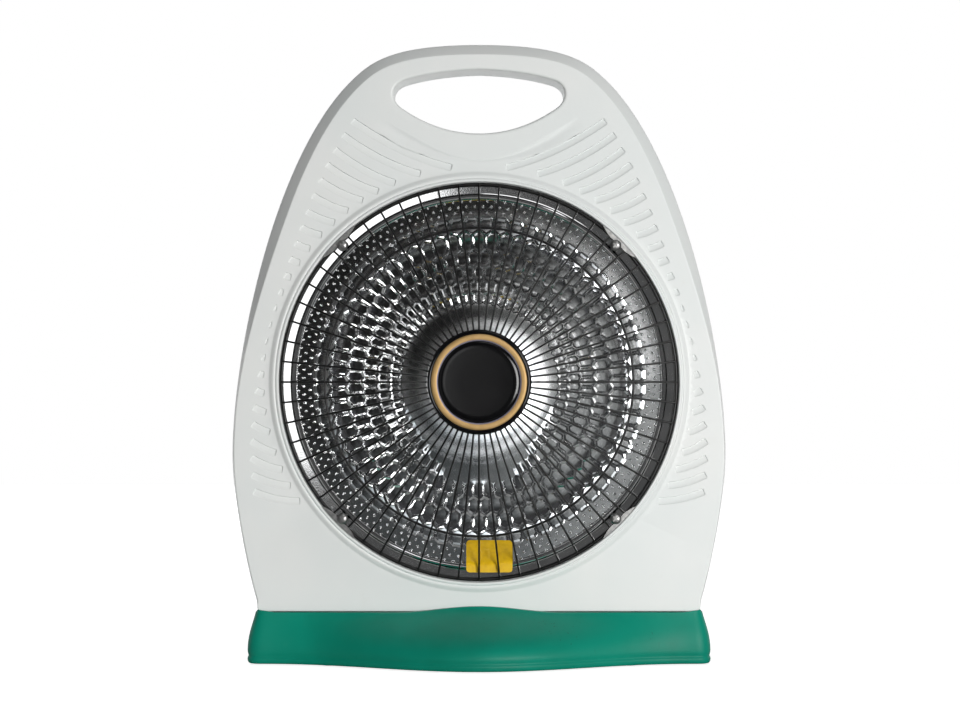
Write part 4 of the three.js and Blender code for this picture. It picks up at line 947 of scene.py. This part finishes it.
# Dimples: three staggered rows, pressed forward.
DIMPLES = 132
dimple = Skin()
for row, radius in enumerate((128.6, 132.8, 136.7)):
    turn = (row % 2) * math.pi / DIMPLES
    cx, _, cz = at_polar(radius, turn, 0)
    rings = []
    for size, proud in ((1.15, 0.0), (1.0, 0.35), (0.75, 0.65), (0.4, 0.85), (0.02, 0.92)):
        rings.append([(x, bowl_y(math.hypot(x, z - DISH_Z)) + 0.15 - proud, z)
                      for x, z in circle(size, 12, cx, cz)])
    dimple.strip(rings)
dimple_seed = moulded("dimple_seed", dimple, bright, 60)
dimples = repeated("reflector_dimples", dimple_seed.data, bright, DIMPLES, 360 / DIMPLES)
bpy.data.objects.remove(dimple_seed)
house(reflector, "bright_dish", "reflector")
house(dimples, "bright_dish")


def clouded(name, size, detail, share, tones, roughness, grain, metallic=0.0, specular=0.5):
    """A finish whose tone and roughness follow one cloudy pattern. `grain` is the bump: its own
    noise's size and detail, or None for the same pattern, then its height and strength."""
    finish = Finish(name, Metallic=metallic, Specular_IOR_Level=specular)
    pattern = finish.noise(size, detail)
    finish.paint(finish.mix(pattern.fit(*share), *tones))
    finish.rough(roughness[0] + roughness[1] * pattern)
    fine, height, strength = grain
    finish.bump(finish.noise(*fine) if fine else pattern, height, strength)
    return finish


# A bare patch of yellow film is stuck over the lowest dimples and the bead.
film = clouded("yellow_film", 0.004, 4.0, (0.4, 0.8), (rgb(236, 190, 8), rgb(220, 172, 14)),
               (0.38, 0.2), (None, 0.00003, 0.4), specular=0.4)
patch = Skin()
patch_top, patch_foot, patch_round = 120.5, 143.6, 2.5
patch_x, patch_half, patch_cut = 7.8, 17.4, 10
film_gap, film_thickness, film_front = 1.6, 0.2, -41.75


def patch_y(radius):
    return max(bowl_y(radius) - film_gap - 0.5 * smooth(radius, 124, 134), film_front)


patch_rows = []
patch_downs = [0.0, 0.3, 0.9, 1.7, 2.5, 5, 8, 11, 14, 16, 18, 20.6, 21.4, 22.2, 22.8, 23.1]
for lift_off in (0.0, film_thickness):
    for down in patch_downs:
        close = patch_round - min(down, patch_foot - patch_top - down, patch_round)
        half = patch_half - patch_round + math.sqrt(max(patch_round ** 2 - close ** 2, 0))
        row = [(patch_x + half * s / patch_cut, patch_top + down) for s in range(-patch_cut, patch_cut + 1)]
        patch_rows.append([(x, patch_y(math.hypot(x, below)) - lift_off, DISH_Z - below) for x, below in row])
loops = []
for rows in (patch_rows[:len(patch_downs)], patch_rows[len(patch_downs):]):
    patch.strip(rows, closed=False)
    loops.append(rows[0] + [r[-1] for r in rows[1:-1]] + rows[-1][::-1] + [r[0] for r in rows[-2:0:-1]])
patch.strip(loops)
patch_film = moulded("yellow_patch", patch, film, 40)
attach(patch_film, "heater")

# ---- Grille -------------------------------------------------------------------------------------
# Sixty radial wires welded over a rim ring and a middle ring, bowed forward to the hub and dipped
# in black enamel.
RIM_RING, MIDDLE_RING, SPOKE_END = 148.95, 116.0, 33.0
GRILLE_Y, GRILLE_BOW = -41.25, 15
SPOKES, SPOKE_PARTS = 60, 14
spoke_wire, rim_wire, middle_wire = 1.5, 2.7, 2.0
over_middle, over_rim = 1.4, 0.35


def spoke_y(radius):
    return GRILLE_Y - GRILLE_BOW * (RIM_RING ** 2 - radius ** 2) / (RIM_RING ** 2 - SPOKE_END ** 2)


enamel = clouded("black_wire", 0.01, 4.0, (0.4, 0.75),
                 ((0.003, 0.003, 0.003, 1), (0.009, 0.009, 0.009, 1)),
                 (0.24, 0.2), ((0.0012, 3.0), 0.00003, 0.4), specular=0.35)

spoke_tip = RIM_RING + 0.6
spoke_radii = [SPOKE_END + (spoke_tip - SPOKE_END) * k / SPOKE_PARTS for k in range(SPOKE_PARTS + 1)]
spoke_line = bpy.data.meshes.new("spoke_line")
spoke_line.from_pydata(
    [(0, (spoke_y(r) - over_middle - over_rim * smooth(r, 110, 148)) * MM, (DISH_Z + r) * MM)
     for r in spoke_radii],
    [(k, k + 1) for k in range(SPOKE_PARTS)], [])
spokes = repeated("grille_spokes", spoke_line, enamel, SPOKES, 360 / SPOKES, wire=spoke_wire / 2 * MM)


def ring_wire(skin, radius, y, thickness, facets=240):
    section = [(radius + thickness / 2 * math.cos(a), y + thickness / 2 * math.sin(a))
               for a in (2 * math.pi * k / 14 for k in range(15))]
    return skin.turned(section, facets)


ring_skin = Skin()
ring_wire(ring_skin, RIM_RING, spoke_y(RIM_RING), rim_wire)
ring_wire(ring_skin, MIDDLE_RING, spoke_y(MIDDLE_RING), middle_wire)
grille_rings = moulded("grille_rings", ring_skin, enamel, 60)
house(spokes, "black_wire", "wire_grille")
house(grille_rings, "black_wire", "wire_grille")

# ---- Grille clips and their screws --------------------------------------------------------------
# Zinc-plated steel: a tab lies over the rim ring on each diagonal and a cross-recess pan-head screw
# through the dish's rim holds it down.
CLIP_SCREW = 145.6
eye, tab_end, tab_angle = 3.7, 150.7, 6.5
notch = [(149.6, 6.0), (148.4, 4.6), (147.5, 3.4), (147.2, 2.4)]
zinc = clouded("steel_hardware", 0.003, 4.0, (0.35, 0.7),
               ((0.22, 0.22, 0.22, 1), (0.34, 0.34, 0.33, 1)),
               (0.25, 0.2), ((0.0006, 2.0), 0.00002, 0.4), metallic=1.0)

tab = [(tab_end, math.radians(-tab_angle + 2 * tab_angle * k / 14)) for k in range(15)]
tab += [(r, math.radians(a)) for r, a in notch]
tab += [(CLIP_SCREW + eye * math.cos(a), eye * math.sin(a) / CLIP_SCREW)
        for a in (math.radians(60 + 240 * k / 12) for k in range(13))]
tab += [(r, math.radians(-a)) for r, a in reversed(notch)]
tab_outline = [(r * math.sin(t), DISH_Z + r * math.cos(t)) for r, t in tab]
tab_seed = moulded("tab_seed", prism(tab_outline, -44.9, -43.95), zinc, 30)
clips = repeated("grille_clips", tab_seed.data, zinc, 4, 90, first=45)
bpy.data.objects.remove(tab_seed)
house(clips, "steel_hardware", *(f"grille_clip_{i}" for i in (1, 2, 3, 4)))


def pan_head(radius, head, length, x, z, seat, into):
    """A pan-head screw along Y with a cross recess; `into` is the way it is driven."""
    rise, cross_half, cross_width, cross_depth = head * 0.46, head * 0.62, 0.5, 1.15
    dome = [(0.001, -rise)] + [(head * 0.93 * math.sin(a), -rise * (0.25 + 0.75 * math.cos(a)))
                               for a in (math.radians(k) for k in range(12, 85, 12))]
    profile = dome + [(head, -rise * 0.22), (head, -0.12), (head - 0.12, 0), (radius, 0),
                      (radius, length - 1), (0.001, length)]
    screw = moulded("screw", Skin().turned([(r, seat + into * a) for r, a in profile], 32, x, z), zinc, 35,
                    merge=0.01)
    near, far = sorted((seat - into * (rise + 1), seat - into * (rise - cross_depth)))
    for wide, tall in ((cross_half, cross_width), (cross_width, cross_half)):
        bar_outline = box_outline(x - wide, x + wide, z - tall, z + tall)
        bar = moulded("bar", prism(bar_outline, near, far), zinc)
        carve(screw, zinc, 35, ("DIFFERENCE", bar))
    return screw


first_screw = pan_head(1.5, 4.2, 16.5, 0, DISH_Z + CLIP_SCREW, -44.95, 1)
clip_screws = repeated("clip_screws", first_screw.data, zinc, 4, 90, first=45)
bpy.data.objects.remove(first_screw)
house(clip_screws, "steel_hardware", *(f"clip_screw_{i}" for i in (1, 2, 3, 4)))

# ---- Centre cap ---------------------------------------------------------------------------------
# A glossy black moulded disc snapped over the hub, with a gold-coloured ring let into its face.
# The hub plate behind it clamps the inner ends of the wires.
gloss = Finish("black_plastic", Specular_IOR_Level=0.3)
gloss_cloud = gloss.noise(0.02, 3.0)
gloss_dust = gloss.noise(0.0015, 5.0, 0.75).fit(0.62, 0.85)
gloss.paint(gloss.mix(gloss_dust * 0.12, (0.0015, 0.0015, 0.002, 1), (0.03, 0.03, 0.03, 1)))
gloss.rough(0.1 + 0.06 * gloss_cloud + 0.2 * gloss_dust)
gloss.bump(gloss_cloud, 0.00003, 0.2)
CAP_Y = -63.3
cap_face = [(r, CAP_Y + back) for r, back in (
    (0.001, 0.55), (14, 0.56), (25, 0.5), (27.5, 0.52), (29.4, 0.75), (30.2, 1.1), (30.4, 1.5), (36.2, 1.5),
    (36.2, 0.6), (36.4, 0.3), (36.7, 0.12), (37.1, 0.1), (37.3, 0.4), (37.6, 0.45), (37.8, 0.2), (38.2, 0.35),
    (38.7, 0.8), (39.1, 1.6), (39.3, 2.8))]
cap_back = [(39.3, -58.7), (36.5, -58.7), (36.5, -59.6), (0.001, -59.6)]
cap = moulded("centre_cap_visual", Skin().turned(cap_face + cap_back, 192), gloss, 34)
house(cap, "black_plastic", "centre_cap")

gold = Finish("gold_trim", Metallic=0.55)
gold_spot = gold.node("ShaderNodeVectorMath", {"operation": "SUBTRACT"},
                      {0: gold.place, 1: (0, 0, DISH_Z * MM)})
gold_parts = gold.node("ShaderNodeSeparateXYZ", None, {0: gold_spot})
gold_radius = (gold_parts.out("X") ** 2 + gold_parts.out("Z") ** 2) ** 0.5
gold_cloud = gold.noise(0.006, 3.0)
gold_tone = gold.mix(gold_cloud.fit(0.3, 0.7), (0.42, 0.265, 0.10, 1), (0.50, 0.325, 0.135, 1))
gold.paint(gold.mix(gold_radius.fit(0.0315, 0.0318), (0.30, 0.28, 0.36, 1), gold_tone))
gold.rough(0.42 + 0.15 * gold_cloud)
gold.bump(gold.noise(0.0005, 2.0), 0.00002, 0.3)
ring_profile = [(r, CAP_Y + back) for r, back in (
    (30.7, 1.2), (30.7, 0.7), (30.9, 0.4), (31.3, 0.15), (31.7, -0.05), (32.3, -0.17), (34.3, -0.2),
    (35.2, -0.1), (35.7, 0.15), (35.9, 0.5), (35.9, 1.2), (30.7, 1.2))]
cap_ring = moulded("cap_ring_visual", Skin().turned(ring_profile, 192), gold, 30)
house(cap_ring, "gold_trim", "cap_ring")

moulding = Finish("black_moulding", Specular_IOR_Level=0.45)
moulding_grain = moulding.noise(0.0008, 3.0)
moulding_cloud = moulding.noise(0.02, 4.0)
moulding.paint(moulding.mix(moulding_cloud.fit(0.35, 0.75),
                            (0.012, 0.012, 0.013, 1), (0.026, 0.026, 0.027, 1)))
moulding.rough(0.42 + 0.15 * moulding_grain)
moulding.bump(moulding_grain, 0.00004, 0.4)
hub = Skin().turned([
    (0.001, -60.3), (2.7, -60.3), (3.0, -60.0), (3.0, -53.9), (36.3, -53.9), (37.2, -53.6), (37.8, -53.1),
    (37.5, -52.2), (36.8, -51.6), (20, -51.4), (8, -51.4), (0.001, -51.4)], 120)
hub_plate = moulded("grille_hub_visual", hub, moulding, 30)
house(hub_plate, "black_plastic", "grille_hub")

# ---- Element ------------------------------------------------------------------------------------
# A ribbed white ceramic bobbin wound with a coil of resistance wire, in a glazed ceramic socket
# that passes through the middle of the dish. Its front end, where the hub shades it, is painted dark grey as
# shade.
ceramic = Finish("ceramic_white", Specular_IOR_Level=0.5)
ceramic_cloud = ceramic.noise(0.008, 4.0)
ceramic_tone = ceramic.mix(ceramic_cloud.fit(0.35, 0.75), rgb(244, 245, 246), rgb(226, 226, 224))
# Painted shade: the core's front end, which lies in the hub's shadow, is painted dark grey.
painted_front_shade = ceramic.node("ShaderNodeSeparateXYZ", None, {0: ceramic.place}).out("Y") + 0.002 * ceramic_cloud
ceramic.paint(ceramic.mix(painted_front_shade.fit(-0.0226, -0.0244), ceramic_tone, rgb(66, 66, 65)))
ceramic.rough(0.5 + 0.25 * ceramic_cloud)
ceramic.bump(ceramic.noise(0.0006, 4.0), 0.00005, 0.5)
core_end, core_tip = 23.0, -39.0
core_half, groove_half = 8.5, 8.15
TURNS, first_groove, pitch = 8, 9.3, 5.62
core_profile = [(r, core_tip + y) for r, y in (
    (0.001, 0), (4.5, 0), (6.2, 0.2), (8.6, 1.0), (10.0, 2.2), (10.0, 4.8), (9.2, 5.7), (core_half, 6.2))]
for turn_index in reversed(range(TURNS)):
    y = first_groove - pitch * turn_index
    core_profile += [(core_half, y - 1.9), (groove_half, y - 1.2),
                     (groove_half, y + 1.2), (core_half, y + 1.9)]
core_profile += [(r, core_end + y) for r, y in (
    (core_half, -6), (10.4, -5.4), (11.5, -4.6), (11.5, -0.4), (11.1, 0), (0.001, 0))]
core = moulded("element_core_visual", Skin().turned(core_profile, 64), ceramic, 30)
house(core, "ceramic_white", "element_core")
socket = moulded("element_socket_visual", Skin().turned([
    (0.001, 23.3), (13.4, 23.3), (14.6, 23.7), (15.7, 24.6), (16.0, 25.6), (16.0, 35.2), (18.8, 35.8),
    (20.0, 37.0), (20.0, 39.3), (18.8, 40.3), (17.0, 40.8), (17.0, 47.7), (16.5, 48.3), (0.001, 48.3)],
    72), ceramic, 30)
house(socket, "ceramic_white", "element_socket")

heating_wire = clouded("resistance_wire", 0.002, 4.0, (0.35, 0.7),
                       ((0.42, 0.41, 0.40, 1), (0.58, 0.57, 0.56, 1)),
                       (0.4, 0.25), (None, 0.00002, 0.4), metallic=0.4)


def coil(name, finish, radius, turns, height, wire, place, tip):
    """Geometry Nodes: a round-wire coil wound along Z, then tipped and moved to its place."""
    values = {"Coil Radius": radius * MM, "Turns": float(turns), "Height": height * MM,
              "Wire Radius": wire / 2 * MM}
    graph, keys = new_graph(name, values)
    given = graph.node("NodeGroupInput")
    spiral = graph.node("GeometryNodeCurveSpiral", None, {
        "Resolution": 40, "Rotations": given.out("Turns"), "Start Radius": given.out("Coil Radius"),
        "End Radius": given.out("Coil Radius"), "Height": given.out("Height")})
    section = graph.node("GeometryNodeCurvePrimitiveCircle", {"mode": "RADIUS"},
                         {"Resolution": 12, "Radius": given.out("Wire Radius")})
    body = graph.node("GeometryNodeCurveToMesh", None,
                      {"Curve": spiral, "Profile Curve": section, "Fill Caps": True})
    smooth_body = graph.node("GeometryNodeSetShadeSmooth", None, {"Geometry": body})
    placed = graph.node("GeometryNodeTransform", None, {
        "Geometry": smooth_body, "Translation": place, "Rotation": (math.radians(tip), 0, 0)})
    return produce(name, bpy.data.meshes.new(name), graph, placed, finish, keys, values)


coil_half, coil_length, coil_wire, coil_front = 9.3, 45.4, 1.2, -30.4
element_coil = coil("element_coil_visual", heating_wire, coil_half, TURNS, coil_length, coil_wire,
                    (0, coil_front * MM, DISH_Z * MM), -90)
house(element_coil, "resistance_wire", "element_coil")

# ---- Back fittings ------------------------------------------------------------------------------
# Case screws, the mains inlet's grommet and the rocker switch, all black or zinc-plated.


def at_places(name, places, source, finish):
    """Geometry Nodes: copies of a piece built at the origin, one at each place."""
    values = {"Piece": source}
    graph, keys = new_graph(name, values)
    given = graph.node("NodeGroupInput")
    piece = graph.node("GeometryNodeObjectInfo", {"transform_space": "ORIGINAL"},
                       {"Object": given.out("Piece")}).out("Geometry")
    copies = graph.node("GeometryNodeInstanceOnPoints", None, {"Points": given, "Instance": piece})
    spots = bpy.data.meshes.new(name)
    spots.from_pydata([tuple(c * MM for c in p) for p in places], [], [])
    thing = produce(name, spots, graph, copies, finish, keys, values)
    bpy.data.objects.remove(source)
    return thing


case_screws = at_places("case_screws", [(x, 0.3, z) for x, z in CASE_SCREWS],
                        pan_head(1.9, 3.8, 27, 0, 0, 0, -1), zinc)
house(case_screws, "steel_hardware", *(f"case_screw_{i}" for i in range(1, 7)))

bore, inner_end = 3.4, -8.0
grommet = moulded("cord_gland_visual", Skin().turned([
    (bore, inner_end), (5.6, inner_end), (6.0, -7.4), (6.0, 0.3), (8.6, 0.3), (9.0, 0.7), (9.0, 1.6),
    (8.5, 2.2), (7.0, 3.2), (6.5, 4.2), (6.3, 5.4), (5.8, 5.8), (5.8, 6.6), (6.1, 7.0), (5.9, 8.0),
    (5.5, 8.4), (5.5, 9.2), (5.8, 9.6), (5.6, 10.6), (5.2, 11.0), (5.2, 11.8), (5.4, 12.2), (5.2, 14.2),
    (4.7, 15.0), (3.8, 15.0), (bore, 14.6), (bore, inner_end)], 64, GLAND_X, GLAND_Z), moulding, 30)
house(grommet, "black_plastic", "cord_gland")


def softened(node, finish, slot, width, body="heater", angle=35):
    """A refined copy of a solid, its moulded edges rounded over."""
    copy = link(node + "_visual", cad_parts[node].data.copy())
    change = copy.modifiers.new("round", "BEVEL")
    change.width, change.segments = width * MM, 3
    change.limit_method, change.angle_limit = "ANGLE", math.radians(40)
    settle(copy, finish)
    shade(copy.data, angle)
    house(copy, slot, node, body=body)
    return copy


softened("switch_body", moulding, "black_plastic", 0.35)
softened("switch_rocker", gloss, "black_plastic", 0.3, body="rocker")

# ---- Underside ----------------------------------------------------------------------------------
# A black moulded plate closes the base, with four push-in rubber feet, four screws and the tip-over
# plunger that the floor holds in.
rubber = Finish("foot_rubber", Specular_IOR_Level=0.3)
rubber_dust = rubber.noise(0.002, 5.0, 0.7)
rubber.paint(rubber.mix(rubber_dust.fit(0.5, 0.8), (0.012, 0.012, 0.012, 1), (0.06, 0.058, 0.055, 1)))
rubber.rough(0.7 + 0.2 * rubber_dust)
rubber.bump(rubber_dust, 0.00006, 0.5)


def upright_turned(profile, facets=64, x=0.0, y=0.0):
    skin = Skin()
    skin.strip([[(x + r * math.cos(a), y + r * math.sin(a), z)
                 for a in (2 * math.pi * k / facets for k in range(facets))] for r, z in profile])
    return skin


foot = moulded("foot", upright_turned([
    (0.001, 0.35), (5.2, 0.35), (5.5, 0.05), (7.6, 0.0), (8.3, 0.2), (8.8, 0.9), (9.0, 1.8), (9.0, 2.6),
    (8.6, 3.0), (2.4, 3.0), (2.4, 5.8), (3.1, 6.0), (3.3, 6.5), (2.6, 7.6), (1.4, 8.6), (0.001, 8.8)]),
    rubber, 35)
feet = at_places("rubber_feet", [(x, y, 0) for x in (-112, 112) for y in (-42, 42)], foot, rubber)
house(feet, "foot_rubber", *(f"rubber_foot_{i}" for i in (1, 2, 3, 4)))

PLUNGER_X, PLUNGER_Y = 60, 25
plunger = moulded("tip_plunger_visual", upright_turned([
    (0.001, 0.15), (3.4, 0.15), (4.3, 0.4), (4.8, 0.8), (5.0, 1.4), (5.0, 12.0), (6.4, 12.0), (6.6, 12.2),
    (6.6, 13.3), (6.4, 13.5), (2.5, 13.5), (2.5, 25.4), (2.1, 25.9), (0.001, 25.9)],
    48, PLUNGER_X, PLUNGER_Y), moulding, 35)
house(plunger, "black_plastic", "tip_plunger", body="plunger")
softened("base_plate", moulding, "black_plastic", 0.3)

spring_steel = clouded("spring_steel", 0.002, 3.0, (0.35, 0.7),
                       ((0.36, 0.36, 0.37, 1), (0.5, 0.5, 0.5, 1)),
                       (0.3, 0.15), (None, 0.00002, 0.3), metallic=1.0)
insulation = clouded("lead_insulation", 0.01, 3.0, (0.35, 0.7), (rgb(40, 40, 44), rgb(60, 60, 66)),
                     (0.45, 0.2), ((0.0008, 2.0), 0.00003, 0.3), specular=0.4)


def carried(node, finish):
    """A piece out of sight keeps its solid and takes a finish."""
    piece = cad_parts[node]
    piece.data.materials.clear()
    piece.data.materials.append(finish.material)


carried("plunger_spring", spring_steel)
for lead in ("lead_live", "lead_switched", "lead_neutral"):
    carried(lead, insulation)
for screw in ("body_screw_1", "body_screw_2", "plate_screw_1", "plate_screw_2", "plate_screw_3",
              "plate_screw_4"):
    carried(screw, zinc)
softened("terminal_block", ceramic, "ceramic_white", 0.4)
softened("element_bracket", zinc, "steel_hardware", 0.25)
softened("tip_switch", moulding, "black_plastic", 0.4)
carried("thermal_cutout", moulding)
